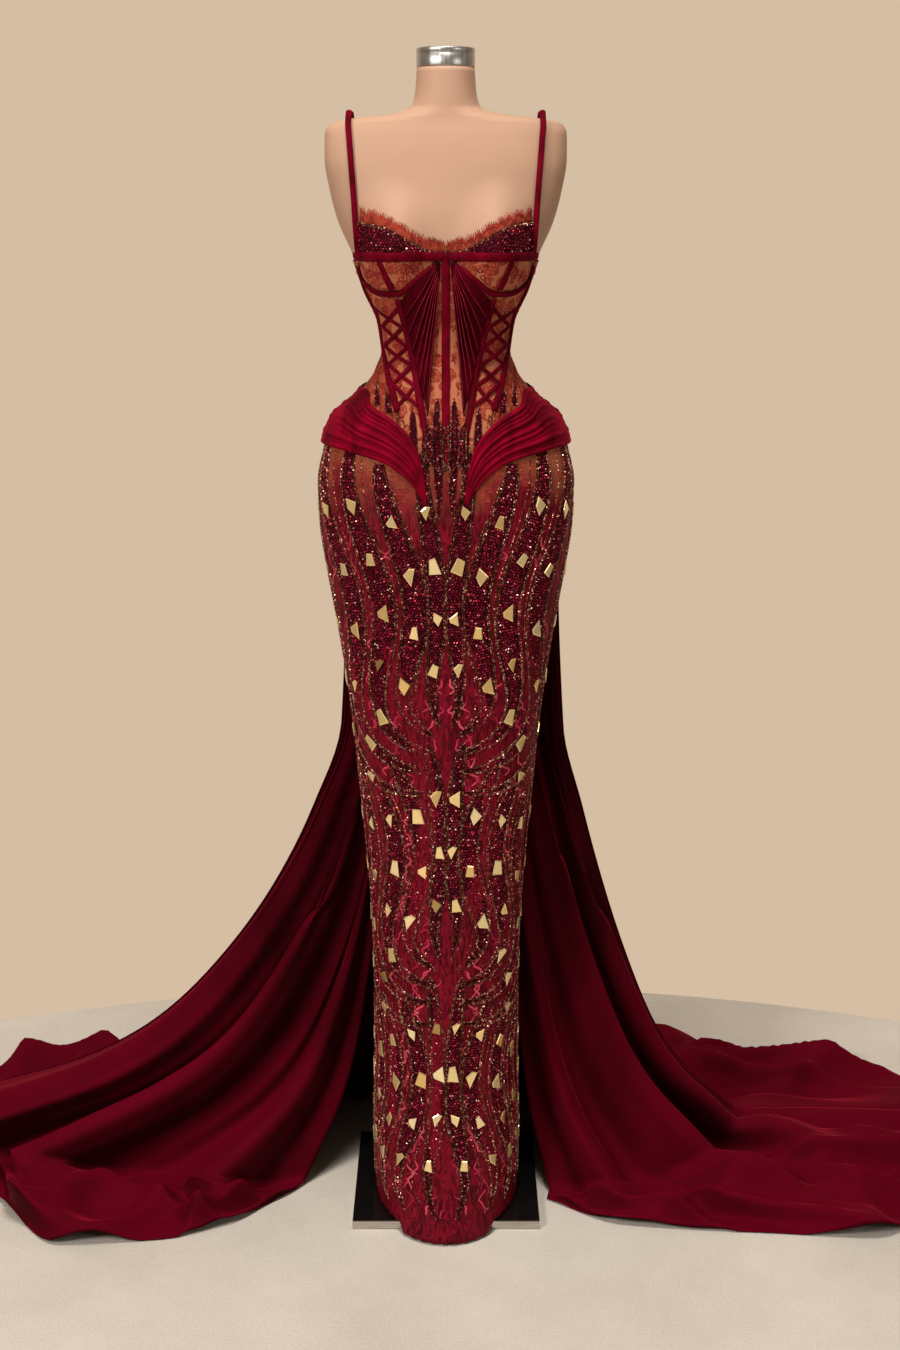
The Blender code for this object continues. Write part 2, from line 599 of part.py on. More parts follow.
# -------------------------------------------------------------------------------------------------------- the skirt
def hem_height(y):
    """Over the plate the hem clears its top; in front of the plate it comes down to the floor."""
    share = np.clip((-y - 0.1570) / 0.006, 0, 1)
    return (PLATE_THICK + 0.002) * (1 - share) + 0.003 * share


def skirt(name, first, last, columns):
    theta = np.linspace(first, last, columns + 1)
    heights = np.array([0.0, 0.045, 0.10, 0.18, 0.27, 0.37, 0.48, 0.59, 0.69, 0.79, 0.88, 0.96, 1.03, 1.09, 1.14, 1.18, SEAM_Z])
    grid = np.broadcast_to(theta, (len(heights), len(theta))), np.broadcast_to(heights[:, None], (len(heights), len(theta)))
    points = surface(grid[0], grid[1], BASE_OFF)
    low = hem_height(points[0, :, 1])
    for j in range(len(theta)):
        points[0, j] += (points[1, j] - points[0, j]) * (low[j] - points[0, j, 2]) / (points[1, j, 2] - points[0, j, 2])
    sheet(name, points, SKIRT_WALL, "beaded_lace")


skirt("skirt_front", -math.pi / 2 + 0.002, math.pi / 2 - 0.002, 18)
skirt("skirt_back", math.pi / 2 + 0.002, 3 * math.pi / 2 - 0.002, 14)


# -------------------------------------------------------------------------------------------------------- the train
def fold_line(row, attach, falls=7, lies=4):
    """One ridge or valley of the train: down from its seam, out over the floor and to its hem."""
    it = dict(zip(TRAIN_COLUMNS, row))
    start = surface(math.radians(it["angle"]), ATTACH_Z, attach)
    touch, hem = np.array([it["touch_x"], it["touch_y"]]), np.array([it["hem_x"], it["hem_y"]])
    h = np.linspace(1, 0, 241)
    g = np.clip(read(FALL, 1, h), 0, 1) ** it["late"]
    inward = -start[:2] / np.linalg.norm(start[:2])
    plan = start[:2] + (touch - start[:2]) * g[:, None] + inward * (it["tuck"] * 4 * h * (1 - h))[:, None]
    fall = np.column_stack([plan, it["lay"] + (start[2] - it["lay"]) * h])
    w = np.linspace(0, 1, 61)[1:]
    lie = np.column_stack([touch + (hem - touch) * w[:, None], 0.0035 + (it["lay"] - 0.0035) * (1 - w**2)])
    hips = [np.array([np.interp(-z, -fall[:, 2], fall[:, i]) for i in range(3)]) for z in (ATTACH_Z, 1.175, 1.140, 1.100, 1.050)]
    below = fall[fall[:, 2] < 1.0]
    return np.vstack([hips, evenly(below, falls)]), evenly(np.vstack([fall[-1], lie]), lies)


def evenly(line, count):
    """The line again, through equal steps of its length."""
    run = np.concatenate([[0], np.cumsum(np.linalg.norm(np.diff(line, axis=0), axis=1))])
    want = np.linspace(0, run[-1], count + 1)
    return np.stack([np.interp(want, run, line[:, i]) for i in range(3)], axis=1)


def clear_of_skirt(grid, clearance):
    """Points pushed straight out until they clear the figure's sections."""
    x, y, z = grid[..., 0], grid[..., 1], grid[..., 2]
    a, f, b, n = (read(FORM, i, z) for i in (1, 2, 3, 4))
    reach = clearance + 0.0008
    rho = ((np.abs(x) / (a + reach)) ** n + (np.abs(y) / (np.where(y < 0, f, b) + reach)) ** n) ** (1 / n)
    out = grid.copy()
    out[..., :2] /= np.minimum(rho, 1.0)[..., None]
    return out


def train_grid(rows, attach, between=2, falls=7, lies=4):
    """Rows run down the train; columns go from guide to guide with points between them."""
    lines = []
    for row in rows:
        fall, lie = fold_line(row, attach, falls, lies)
        lines.append(np.vstack([fall, lie[1:]]))
    lines = np.array(lines)
    at = np.arange(len(rows))
    want = np.linspace(0, len(rows) - 1, (len(rows) - 1) * between + 1)
    grid = np.stack([np.stack([curve(at, lines[:, k, i], want) for i in range(3)], axis=1) for k in range(lines.shape[1])], axis=0)
    return clear_of_skirt(grid, attach)


for name, rows in TRAIN.items():
    grid = train_grid(rows, ATTACH_IN if name in ("train_left", "train_right") else ATTACH_OUT)
    grid = grid[::-1]  # hem first, so that rows run upwards
    if name in ("train_back_left", "train_right"):
        grid = grid[:, ::-1]
    sheet(name, grid, VELVET_WALL, "train_velvet")
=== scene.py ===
"""Looks of the evening dress and of the dress form that it stands on.

Every sheet here is the CAD's own sheet, worked out again from the same tables with finer rows and columns, so it lies
where its solid lies. Beads, tiles, cords and lashes are joined meshes laid on those sheets.
"""

import math

import bpy
import numpy as np
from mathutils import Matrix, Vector


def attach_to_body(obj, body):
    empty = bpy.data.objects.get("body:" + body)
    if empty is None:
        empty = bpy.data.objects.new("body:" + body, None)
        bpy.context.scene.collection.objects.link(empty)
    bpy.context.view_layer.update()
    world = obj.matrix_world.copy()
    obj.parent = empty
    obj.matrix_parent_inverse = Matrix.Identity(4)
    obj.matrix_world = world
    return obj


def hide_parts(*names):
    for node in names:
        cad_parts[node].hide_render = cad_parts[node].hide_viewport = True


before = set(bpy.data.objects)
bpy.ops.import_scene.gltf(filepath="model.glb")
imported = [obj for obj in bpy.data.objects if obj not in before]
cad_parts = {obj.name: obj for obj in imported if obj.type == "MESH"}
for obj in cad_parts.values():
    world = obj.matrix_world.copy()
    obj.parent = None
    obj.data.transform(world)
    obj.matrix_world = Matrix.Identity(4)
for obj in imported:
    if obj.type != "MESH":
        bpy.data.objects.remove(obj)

RNG = np.random.default_rng(7)

# ------------------------------------------------------------------------------------------- the CAD's sizes and tables
HEIGHT = 1.750
PLATE_THICK = 0.0145
FORM_BOTTOM = 0.800
NECK_CUT = 1.724
SEAM_Z = 1.215
GAP = 0.0003
LACE_WALL, SKIRT_WALL, BAND_WALL, RIBBON_WALL, VELVET_WALL = 0.0012, 0.0014, 0.0018, 0.0010, 0.0014
BASE_OFF, BAND_OFF, OVER_OFF = 0.0012, 0.0036, 0.0058
ATTACH_Z = 1.210
ATTACH_IN, ATTACH_OUT = 0.0044, 0.0095
DRAPE_OFF, DRAPE_OFF_BACK = 0.0044, 0.0130
PLEAT_HIGH = 0.0055
BAND_WIDTH, BUSK_WIDTH, TOP_BAND_WIDTH, RIBBON_WIDTH, STRAP_WIDTH = 0.0085, 0.0100, 0.0110, 0.0060, 0.0090

FORM = [  # z, half width, front depth, back depth, superellipse exponent
    (1.724, 0.0413, 0.0413, 0.0413, 2.0),
    (1.690, 0.0440, 0.0440, 0.0440, 2.0),
    (1.672, 0.0500, 0.0455, 0.0480, 2.0),
    (1.662, 0.0800, 0.0470, 0.0520, 2.1),
    (1.656, 0.1350, 0.0480, 0.0560, 2.3),
    (1.649, 0.1640, 0.0500, 0.0610, 2.4),
    (1.635, 0.1715, 0.0550, 0.0700, 2.5),
    (1.600, 0.1720, 0.0660, 0.0860, 2.6),
    (1.560, 0.1660, 0.0760, 0.0980, 2.5),
    (1.517, 0.1550, 0.0850, 0.1030, 2.4),
    (1.464, 0.1320, 0.0900, 0.1010, 2.3),
    (1.433, 0.1215, 0.0910, 0.0970, 2.2),
    (1.405, 0.1095, 0.0900, 0.0920, 2.2),
    (1.376, 0.0975, 0.0860, 0.0870, 2.1),
    (1.333, 0.0912, 0.0830, 0.0830, 2.1),
    (1.305, 0.1000, 0.0880, 0.0870, 2.1),
    (1.276, 0.1215, 0.0970, 0.0950, 2.1),
    (1.247, 0.1495, 0.1060, 0.1040, 2.1),
    (1.218, 0.1670, 0.1130, 0.1120, 2.1),
    (1.188, 0.1760, 0.1180, 0.1190, 2.1),
    (1.144, 0.1845, 0.1230, 0.1250, 2.1),
    (1.084, 0.1830, 0.1250, 0.1260, 2.1),
    (1.024, 0.1750, 0.1240, 0.1240, 2.1),
    (0.960, 0.1640, 0.1220, 0.1210, 2.1),
    (0.880, 0.1510, 0.1200, 0.1170, 2.1),
    (0.791, 0.1390, 0.1200, 0.1140, 2.1),
    (0.687, 0.1290, 0.1220, 0.1110, 2.1),
    (0.588, 0.1200, 0.1240, 0.1090, 2.1),
    (0.501, 0.1135, 0.1270, 0.1080, 2.1),
    (0.365, 0.1095, 0.1340, 0.1080, 2.1),
    (0.261, 0.1095, 0.1430, 0.1080, 2.1),
    (0.180, 0.1108, 0.1540, 0.1080, 2.1),
    (0.100, 0.1120, 0.1700, 0.1080, 2.1),
    (0.000, 0.1117, 0.1940, 0.1060, 2.1),
]
BUST = dict(x=0.073, z=1.468, wide=0.067, above=0.115, below=0.085, high=0.034)
PRINCESS = [(1.416, 0.0670), (1.362, 0.0535), (1.313, 0.0430), (1.256, 0.0340), (1.200, 0.0220)]  # z, x
SIDE_BONE = [(1.461, 0.1235), (1.422, 0.1125), (1.382, 0.0940), (1.334, 0.0865), (1.294, 0.0785), (1.246, 0.0645)]  # z, x
UNDERWIRE = [(0.1210, 1.4580), (0.1130, 1.4340), (0.0860, 1.4195), (0.0660, 1.4205), (0.0450, 1.4370), (0.0170, 1.4580)]  # x, z
NECKLINE = [(0.1260, 1.5160), (0.0860, 1.5080), (0.0530, 1.4910), (0.0180, 1.4750), (0.0000, 1.4745)]  # x, z
EDGING = [(0.1260, 1.5390), (0.0960, 1.5300), (0.0750, 1.5170), (0.0300, 1.4960), (0.0000, 1.4860)]  # x, z
BUST_LINE = 1.468
CUP_STRIP = [(1.4618, 0.0898), (1.4252, 0.0738)]  # z, x
FAN = [  # share from the outer fold to the inner one, where it starts: x and z, where it ends: x and z, its bow
    (0.00, 0.0180, 1.4480, 0.0590, 1.4120, 0.0032),
    (0.20, 0.0165, 1.4480, 0.0508, 1.3760, 0.0030),
    (0.40, 0.0145, 1.4460, 0.0432, 1.3430, 0.0008),
    (0.60, 0.0120, 1.4440, 0.0368, 1.3100, 0.0000),
    (0.80, 0.0100, 1.4420, 0.0306, 1.2780, 0.0000),
    (1.00, 0.0080, 1.4400, 0.0228, 1.2480, 0.0000),
]
FAN_PLEATS = 6
DRAPE_FRONT = [  # share, upper angle, upper z, lower angle, lower z
    (0.00, 90.0, 1.279, 90.0, 1.198),
    (0.22, 66.0, 1.278, 66.0, 1.198),
    (0.42, 47.0, 1.259, 45.0, 1.193),
    (0.62, 28.0, 1.242, 29.0, 1.184),
    (0.80, 14.5, 1.212, 17.0, 1.163),
    (0.92, 9.0, 1.168, 10.6, 1.140),
    (1.00, 7.5, 1.128, 8.3, 1.123),
]
DRAPE_BACK = [
    (0.00, 90.0, 1.279, 90.0, 1.198),
    (0.50, 134.0, 1.284, 134.0, 1.186),
    (1.00, 179.7, 1.272, 179.7, 1.176),
]
PLEATS = 7
FALL = [(1.0, 0.0), (0.82, 0.0), (0.61, 0.012), (0.49, 0.075), (0.373, 0.165), (0.25, 0.30), (0.159, 0.44), (0.095, 0.60), (0.032, 0.86), (0.0, 1.0)]
TRAIN_COLUMNS = "angle touch_x touch_y late tuck lay hem_x hem_y".split()
TRAIN = {
    "train_left": [
        (-151, -0.228, -0.010, 1.00, 0.000, 0.008, -0.242, -0.030),
        (-147, -0.370, -0.060, 1.10, 0.000, 0.016, -0.345, -0.135),
        (-143, -0.500, 0.020, 1.15, 0.020, 0.006, -0.440, -0.178),
        (-139, -0.660, -0.010, 1.10, 0.000, 0.034, -0.590, -0.190),
        (-134, -0.740, 0.070, 1.10, 0.020, 0.008, -0.720, -0.050),
        (-128, -0.820, 0.080, 0.97, 0.000, 0.048, -0.850, 0.030),
        (-121, -0.900, 0.190, 1.00, 0.000, 0.045, -0.960, 0.180),
    ],
    "train_back_left": [
        (-121, -0.900, 0.1906, 1.00, 0.000, 0.045, -0.960, 0.1806),
        (-127, -0.760, 0.290, 1.05, 0.000, 0.008, -0.860, 0.350),
        (-134, -0.560, 0.340, 0.95, 0.000, 0.034, -0.740, 0.430),
        (-142, -0.380, 0.280, 1.00, 0.000, 0.008, -0.560, 0.420),
        (-151, -0.250, 0.350, 0.85, 0.000, 0.026, -0.380, 0.520),
        (-161, -0.150, 0.280, 0.90, 0.000, 0.008, -0.220, 0.500),
        (-171, -0.070, 0.350, 0.85, 0.000, 0.026, -0.100, 0.570),
        (-179.7, -0.0003, 0.300, 0.90, 0.000, 0.008, -0.0005, 0.540),
    ],
    "train_back_right": [
        (179.7, 0.0003, 0.300, 0.90, 0.000, 0.008, 0.0005, 0.540),
        (171, 0.070, 0.360, 0.85, 0.000, 0.026, 0.110, 0.580),
        (161, 0.140, 0.290, 0.90, 0.000, 0.008, 0.240, 0.510),
        (151, 0.220, 0.360, 0.85, 0.000, 0.030, 0.400, 0.530),
        (141, 0.310, 0.300, 0.85, 0.000, 0.008, 0.560, 0.470),
        (131, 0.400, 0.330, 0.75, 0.000, 0.034, 0.720, 0.430),
        (120, 0.450, 0.270, 0.80, 0.000, 0.012, 0.850, 0.360),
        (108, 0.500, 0.2006, 0.75, 0.000, 0.030, 0.978, 0.2206),
    ],
    "train_right": [
        (150, 0.165, -0.035, 1.00, 0.000, 0.006, 0.160, -0.058),
        (146, 0.250, -0.060, 0.90, 0.010, 0.014, 0.270, -0.130),
        (142, 0.320, -0.020, 0.85, 0.010, 0.008, 0.450, -0.155),
        (135, 0.430, 0.010, 0.80, 0.000, 0.036, 0.650, -0.170),
        (129, 0.430, 0.070, 0.85, 0.010, 0.008, 0.760, -0.100),
        (121, 0.480, 0.110, 0.75, 0.000, 0.036, 0.880, 0.040),
        (114, 0.470, 0.150, 0.80, 0.005, 0.010, 0.940, 0.130),
        (108, 0.500, 0.200, 0.75, 0.000, 0.030, 0.978, 0.220),
    ],
}


def slopes(xs, ys):
    h, d = np.diff(xs), np.diff(ys) / np.diff(xs)
    m = np.zeros(len(xs))
    m[0], m[-1] = d[0], d[-1]
    for i in range(1, len(xs) - 1):
        if d[i - 1] * d[i] > 0:
            w1, w2 = 2 * h[i] + h[i - 1], h[i] + 2 * h[i - 1]
            m[i] = (w1 + w2) / (w1 / d[i - 1] + w2 / d[i])
    return m


def curve(xs, ys, x):
    xs, ys = np.asarray(xs, float), np.asarray(ys, float)
    if xs[0] > xs[-1]:
        xs, ys = xs[::-1], ys[::-1]
    m = slopes(xs, ys)
    x = np.clip(np.asarray(x, float), xs[0], xs[-1])
    i = np.clip(np.searchsorted(xs, x, side="right") - 1, 0, len(xs) - 2)
    h = xs[i + 1] - xs[i]
    t = (x - xs[i]) / h
    return (
        (2 * t**3 - 3 * t**2 + 1) * ys[i]
        + (t**3 - 2 * t**2 + t) * h * m[i]
        + (3 * t**2 - 2 * t**3) * ys[i + 1]
        + (t**3 - t**2) * h * m[i + 1]
    )


def read(table, column, x):
    return curve([row[0] for row in table], [row[column] for row in table], x)


def figure(theta, z):
    """Points of the figure at an angle from the front (towards +X) and a height."""
    a, f, b, n = (read(FORM, i, z) for i in (1, 2, 3, 4))
    s, c = np.sin(theta), np.cos(theta)
    x = a * np.sign(s) * np.abs(s) ** (2 / n)
    y = np.where(c > 0, -f, b) * np.abs(c) ** (2 / n)
    reach = np.where(z > BUST["z"], BUST["above"], BUST["below"])
    r2 = ((np.abs(x) - BUST["x"]) / BUST["wide"]) ** 2 + ((z - BUST["z"]) / reach) ** 2
    mound = BUST["high"] * np.cos(np.sqrt(np.clip(r2, 0, 1)) * math.pi / 2) ** 2 * np.clip(3 * c, 0, 1)
    return np.stack([x, y - mound, z], -1)


def normal_of(theta, z):
    d = 2e-3
    n = np.cross(figure(theta + d, z) - figure(theta - d, z), figure(theta, z + d) - figure(theta, z - d))
    return n / np.linalg.norm(n, axis=-1, keepdims=True)


def surface(theta, z, off):
    theta, z, off = np.broadcast_arrays(np.asarray(theta, float), np.asarray(z, float), np.asarray(off, float))
    return figure(theta, z) + normal_of(theta, z) * off[..., None]


def angle_of(x, z):
    """The angle from the front at which the figure is x wide at z."""
    a, n = read(FORM, 1, z), read(FORM, 4, z)
    return np.arcsin(np.clip(np.abs(x) / a, 0, 1) ** (n / 2)) * np.sign(x)


# The figure unrolled: s is the length along its girth from the front's middle, positive towards +X.
RING_Z = np.linspace(0.0, 1.56, 157)
RING_T = np.linspace(0.0, math.pi, 361)
_t, _z = np.broadcast_arrays(RING_T[None, :], RING_Z[:, None])
_ring = figure(_t, _z)
_arc = np.concatenate([np.zeros((len(RING_Z), 1)), np.cumsum(np.linalg.norm(np.diff(_ring, axis=1), axis=2), axis=1)], axis=1)
HALF_GIRTH = _arc[:, -1]
SHARES = np.linspace(0, 1, 361)
THETA_AT = np.array([np.interp(SHARES * _arc[i, -1], _arc[i], RING_T) for i in range(len(RING_Z))])


def theta_of(s, z):
    s, z = np.broadcast_arrays(np.asarray(s, float), np.asarray(z, float))
    at = np.clip((z - RING_Z[0]) / (RING_Z[1] - RING_Z[0]), 0, len(RING_Z) - 1.001)
    i = at.astype(int)
    f = at - i
    half = HALF_GIRTH[i] * (1 - f) + HALF_GIRTH[i + 1] * f
    q = np.clip(np.abs(s) / half, 0, 0.99999) * 360
    j = q.astype(int)
    g = q - j
    low = THETA_AT[i, j] * (1 - g) + THETA_AT[i, j + 1] * g
    high = THETA_AT[i + 1, j] * (1 - g) + THETA_AT[i + 1, j + 1] * g
    return np.sign(s) * (low * (1 - f) + high * f)


def girth_of(theta, z):
    """The other way: s at an angle."""
    theta, z = np.broadcast_arrays(np.asarray(theta, float), np.asarray(z, float))
    i = np.clip(((z - RING_Z[0]) / (RING_Z[1] - RING_Z[0])).round().astype(int), 0, len(RING_Z) - 1)
    flat = np.array([np.interp(abs(t), RING_T, _arc[k]) for t, k in zip(theta.ravel(), i.ravel())])
    return flat.reshape(theta.shape) * np.sign(theta)


def half_girth(z):
    return np.interp(z, RING_Z, HALF_GIRTH)


# --------------------------------------------------------------------------------------------------------- materials
def shader_of(name):
    mat = bpy.data.materials.new(name)
    mat.use_nodes = True
    tree = mat.node_tree
    return mat, tree, tree.nodes["Principled BSDF"]


def add(tree, kind, **values):
    node = tree.nodes.new(kind)
    for key, value in values.items():
        if key in node.inputs:
            node.inputs[key].default_value = value
        else:
            setattr(node, key, value)
    return node


def ramp(tree, fac, stops):
    node = tree.nodes.new("ShaderNodeValToRGB")
    elements = node.color_ramp.elements
    while len(elements) < len(stops):
        elements.new(0.5)
    for element, (at, rgb) in zip(elements, stops):
        element.position = at
        element.color = (*rgb, 1.0)
    tree.links.new(fac, node.inputs["Fac"])
    return node.outputs["Color"]


def mixed(tree, fac, a, b, blend="MIX"):
    node = tree.nodes.new("ShaderNodeMix")
    node.data_type = "RGBA"
    node.blend_type = blend
    for socket, value in ((node.inputs["Factor"], fac), (node.inputs["A"], a), (node.inputs["B"], b)):
        if isinstance(value, bpy.types.NodeSocket):
            tree.links.new(value, socket)
        elif isinstance(value, (int, float)):
            socket.default_value = value
        else:
            socket.default_value = (*value, 1.0)
    return node.outputs["Result"]


def math_node(tree, operation, *values, clamp=False):
    node = tree.nodes.new("ShaderNodeMath")
    node.operation = operation
    node.use_clamp = clamp
    for socket, value in zip(node.inputs, values):
        if isinstance(value, bpy.types.NodeSocket):
            tree.links.new(value, socket)
        else:
            socket.default_value = value
    return node.outputs[0]


def coordinates(tree, scale=(1, 1, 1)):
    at = tree.nodes.new("ShaderNodeTexCoord").outputs["Object"]
    if scale == (1, 1, 1):
        return at
    mapping = tree.nodes.new("ShaderNodeMapping")
    mapping.inputs["Scale"].default_value = scale
    tree.links.new(at, mapping.inputs["Vector"])
    return mapping.outputs["Vector"]


def noise(tree, at, scale, detail=2.0, rough=0.5, distortion=0.0):
    node = add(tree, "ShaderNodeTexNoise", Scale=scale, Detail=detail, Roughness=rough, Distortion=distortion)
    tree.links.new(at, node.inputs["Vector"])
    return node.outputs["Fac"]


def bump(tree, shader, height, strength, distance):
    node = add(tree, "ShaderNodeBump", Strength=strength, Distance=distance)
    tree.links.new(height, node.inputs["Height"])
    tree.links.new(node.outputs["Normal"], shader.inputs["Normal"])


def velvet(name, dark, lit, sheen, tint, pile=(9.0, 9.0, 5.0), lean=0.0):
    """Cut pile: broad strokes where the pile lies over, a fine nap, a soft sheen on the folds, and with lean a painted
    light that makes faces turned up lighter.
    """
    mat, tree, shader = shader_of(name)
    strokes = noise(tree, coordinates(tree, pile), 1.0, 3.0, 0.55, 0.6)
    lies = strokes
    if lean:  # painted light: faces that look up, and a little those turned to the front, are made lighter in colour
        facing = tree.nodes.new("ShaderNodeSeparateXYZ")
        tree.links.new(tree.nodes.new("ShaderNodeNewGeometry").outputs["Normal"], facing.inputs[0])
        up = math_node(tree, "MULTIPLY_ADD", facing.outputs["Z"], 1.05, math_node(tree, "MULTIPLY_ADD", facing.outputs["Y"], -0.20, 0.12), clamp=True)
        lies = math_node(tree, "MULTIPLY_ADD", up, lean, math_node(tree, "MULTIPLY", strokes, 1.0 - lean))
    tree.links.new(ramp(tree, lies, [(0.30, dark), (0.72, lit)]), shader.inputs["Base Color"])
    nap = noise(tree, coordinates(tree), 1400.0, 2.0, 0.6)
    rough = math_node(tree, "MULTIPLY_ADD", strokes, 0.15, 0.68)
    tree.links.new(rough, shader.inputs["Roughness"])
    bump(tree, shader, nap, 0.25, 0.0006)
    shader.inputs["Specular IOR Level"].default_value = 0.03
    shader.inputs["Sheen Weight"].default_value = sheen
    shader.inputs["Sheen Roughness"].default_value = 0.32
    shader.inputs["Sheen Tint"].default_value = (*tint, 1.0)
    return mat


def net_lace(name, ground, thread, scale=330.0, motif=52.0, share=0.40):
    """Net with worked motifs: rounded shapes, outlined and filled with rows of stitches, on cells of fine net."""
    mat, tree, shader = shader_of(name)
    at = coordinates(tree)
    cells = add(tree, "ShaderNodeTexVoronoi", Scale=scale)
    cells.feature = "DISTANCE_TO_EDGE"
    tree.links.new(at, cells.inputs["Vector"])
    lines = math_node(tree, "LESS_THAN", cells.outputs["Distance"], 0.08)
    bent = add(tree, "ShaderNodeTexNoise", Scale=70.0, Detail=2.0)
    tree.links.new(at, bent.inputs["Vector"])
    move = tree.nodes.new("ShaderNodeVectorMath")
    move.operation = "MULTIPLY_ADD"
    tree.links.new(bent.outputs["Color"], move.inputs[0])
    move.inputs[1].default_value = (0.011, 0.011, 0.011)
    tree.links.new(at, move.inputs[2])
    blooms = add(tree, "ShaderNodeTexVoronoi", Scale=motif, Randomness=0.85)
    tree.links.new(move.outputs[0], blooms.inputs["Vector"])
    inside = math_node(tree, "LESS_THAN", blooms.outputs["Distance"], share)
    rim = math_node(tree, "LESS_THAN", math_node(tree, "ABSOLUTE", math_node(tree, "SUBTRACT", blooms.outputs["Distance"], share)), 0.05)
    eye = math_node(tree, "LESS_THAN", math_node(tree, "ABSOLUTE", math_node(tree, "SUBTRACT", blooms.outputs["Distance"], share * 0.42)), 0.035)
    rim = math_node(tree, "MAXIMUM", rim, eye)
    veins = add(tree, "ShaderNodeTexVoronoi", Scale=motif * 3.1)
    veins.feature = "DISTANCE_TO_EDGE"
    tree.links.new(move.outputs[0], veins.inputs["Vector"])
    vein = math_node(tree, "MULTIPLY", math_node(tree, "LESS_THAN", veins.outputs["Distance"], 0.09), inside)
    base = mixed(tree, noise(tree, at, 26.0, 3.0), ground, tuple(0.74 * g + 0.26 * t for g, t in zip(ground, thread)))
    netted = mixed(tree, math_node(tree, "MULTIPLY", lines, 0.30), base, thread)
    worked = mixed(tree, math_node(tree, "MULTIPLY", inside, 0.74), netted, tuple(0.30 * g + 0.70 * t for g, t in zip(ground, thread)))
    colour = mixed(tree, math_node(tree, "MULTIPLY", math_node(tree, "MAXIMUM", vein, rim), 0.80), worked, tuple(0.72 * t for t in thread))
    tree.links.new(colour, shader.inputs["Base Color"])
    shader.inputs["Roughness"].default_value = 0.72
    shader.inputs["Specular IOR Level"].default_value = 0.10
    bump(tree, shader, math_node(tree, "MAXIMUM", lines, math_node(tree, "MAXIMUM", inside, rim)), 0.35, 0.0006)
    return mat


def skirt_lace(name):
    """Nude net over the hips that turns to crimson lining under crimson lace lower down."""
    mat, tree, shader = shader_of(name)
    at = coordinates(tree)
    split = tree.nodes.new("ShaderNodeSeparateXYZ")
    tree.links.new(at, split.inputs[0])
    edge = noise(tree, at, 16.0, 3.0)
    level = math_node(tree, "MULTIPLY_ADD", edge, 0.16, split.outputs["Z"])
    low = add(tree, "ShaderNodeMapRange")
    low.interpolation_type = "SMOOTHSTEP"
    for key, value in (("From Min", 1.18), ("From Max", 1.29), ("To Min", 0.0), ("To Max", 1.0)):
        low.inputs[key].default_value = value
    tree.links.new(level, low.inputs["Value"])
    stretched = coordinates(tree, (1.0, 1.0, 0.28))
    ripples = noise(tree, stretched, 120.0, 3.0, 0.6, 1.6)
    broad = noise(tree, coordinates(tree, (1.0, 1.0, 0.5)), 30.0, 3.0, 0.6, 1.0)
    crimson = ramp(tree, ripples, [(0.34, (0.034, 0.0003, 0.002)), (0.48, (0.122, 0.001, 0.008)), (0.58, (0.260, 0.004, 0.022)), (0.66, (0.090, 0.0007, 0.006))])
    crimson = mixed(tree, math_node(tree, "MULTIPLY", broad, 0.4), crimson, (0.092, 0.0007, 0.007))
    cells = add(tree, "ShaderNodeTexVoronoi", Scale=300.0)
    cells.feature = "DISTANCE_TO_EDGE"
    tree.links.new(at, cells.inputs["Vector"])
    lines = math_node(tree, "LESS_THAN", cells.outputs["Distance"], 0.08)
    nude = ramp(tree, broad, [(0.3, (0.24, 0.045, 0.020)), (0.7, (0.40, 0.120, 0.055))])
    nude = mixed(tree, math_node(tree, "MULTIPLY", lines, 0.45), nude, (0.16, 0.02, 0.012))
    tree.links.new(mixed(tree, low.outputs["Result"], crimson, nude), shader.inputs["Base Color"])
    shader.inputs["Roughness"].default_value = 0.55
    shader.inputs["Specular IOR Level"].default_value = 0.09
    bump(tree, shader, math_node(tree, "ADD", ripples, math_node(tree, "MULTIPLY", lines, 0.4)), 0.5, 0.0012)
    return mat


def by_piece(name, stops, rough, metal=0.0, coat=0.0, spec=0.5):
    """Beads, tiles or cords: each island of the mesh has its own shade."""
    mat, tree, shader = shader_of(name)
    island = tree.nodes.new("ShaderNodeNewGeometry").outputs["Random Per Island"]
    tree.links.new(ramp(tree, island, stops), shader.inputs["Base Color"])
    haze = noise(tree, coordinates(tree), 900.0, 2.0)
    tree.links.new(math_node(tree, "MULTIPLY_ADD", haze, 0.12, rough), shader.inputs["Roughness"])
    shader.inputs["Metallic"].default_value = metal
    shader.inputs["Coat Weight"].default_value = coat
    shader.inputs["Coat Roughness"].default_value = 0.08
    shader.inputs["Specular IOR Level"].default_value = spec
    return mat


def beaded_ground(name):
    """The closely sewn ground under the beads: seed beads as round bumps, each darkened towards its rim as painted
    shade between them, and a few pale ones as painted glints.
    """
    mat, tree, shader = shader_of(name)
    at = coordinates(tree)
    cells = add(tree, "ShaderNodeTexVoronoi", Scale=430.0, Randomness=0.75)
    tree.links.new(at, cells.inputs["Vector"])
    round_ = math_node(tree, "SUBTRACT", 1.0, math_node(tree, "MULTIPLY", cells.outputs["Distance"], 1.6), clamp=True)
    split = tree.nodes.new("ShaderNodeSeparateColor")
    tree.links.new(cells.outputs["Color"], split.inputs[0])
    # the palest stop is a painted glint on a few seed beads
    seed = ramp(tree, split.outputs[0], [(0.0, (0.045, 0.0003, 0.004)), (0.55, (0.120, 0.0008, 0.010)), (0.86, (0.24, 0.004, 0.024)), (0.97, (0.52, 0.09, 0.09))])
    # painted shade: each seed bead darkens towards its rim, near black between the beads
    tree.links.new(mixed(tree, round_, (0.012, 0.0, 0.002), seed), shader.inputs["Base Color"])
    shader.inputs["Roughness"].default_value = 0.50
    shader.inputs["Specular IOR Level"].default_value = 0.05
    bump(tree, shader, round_, 0.9, 0.0012)
    return mat


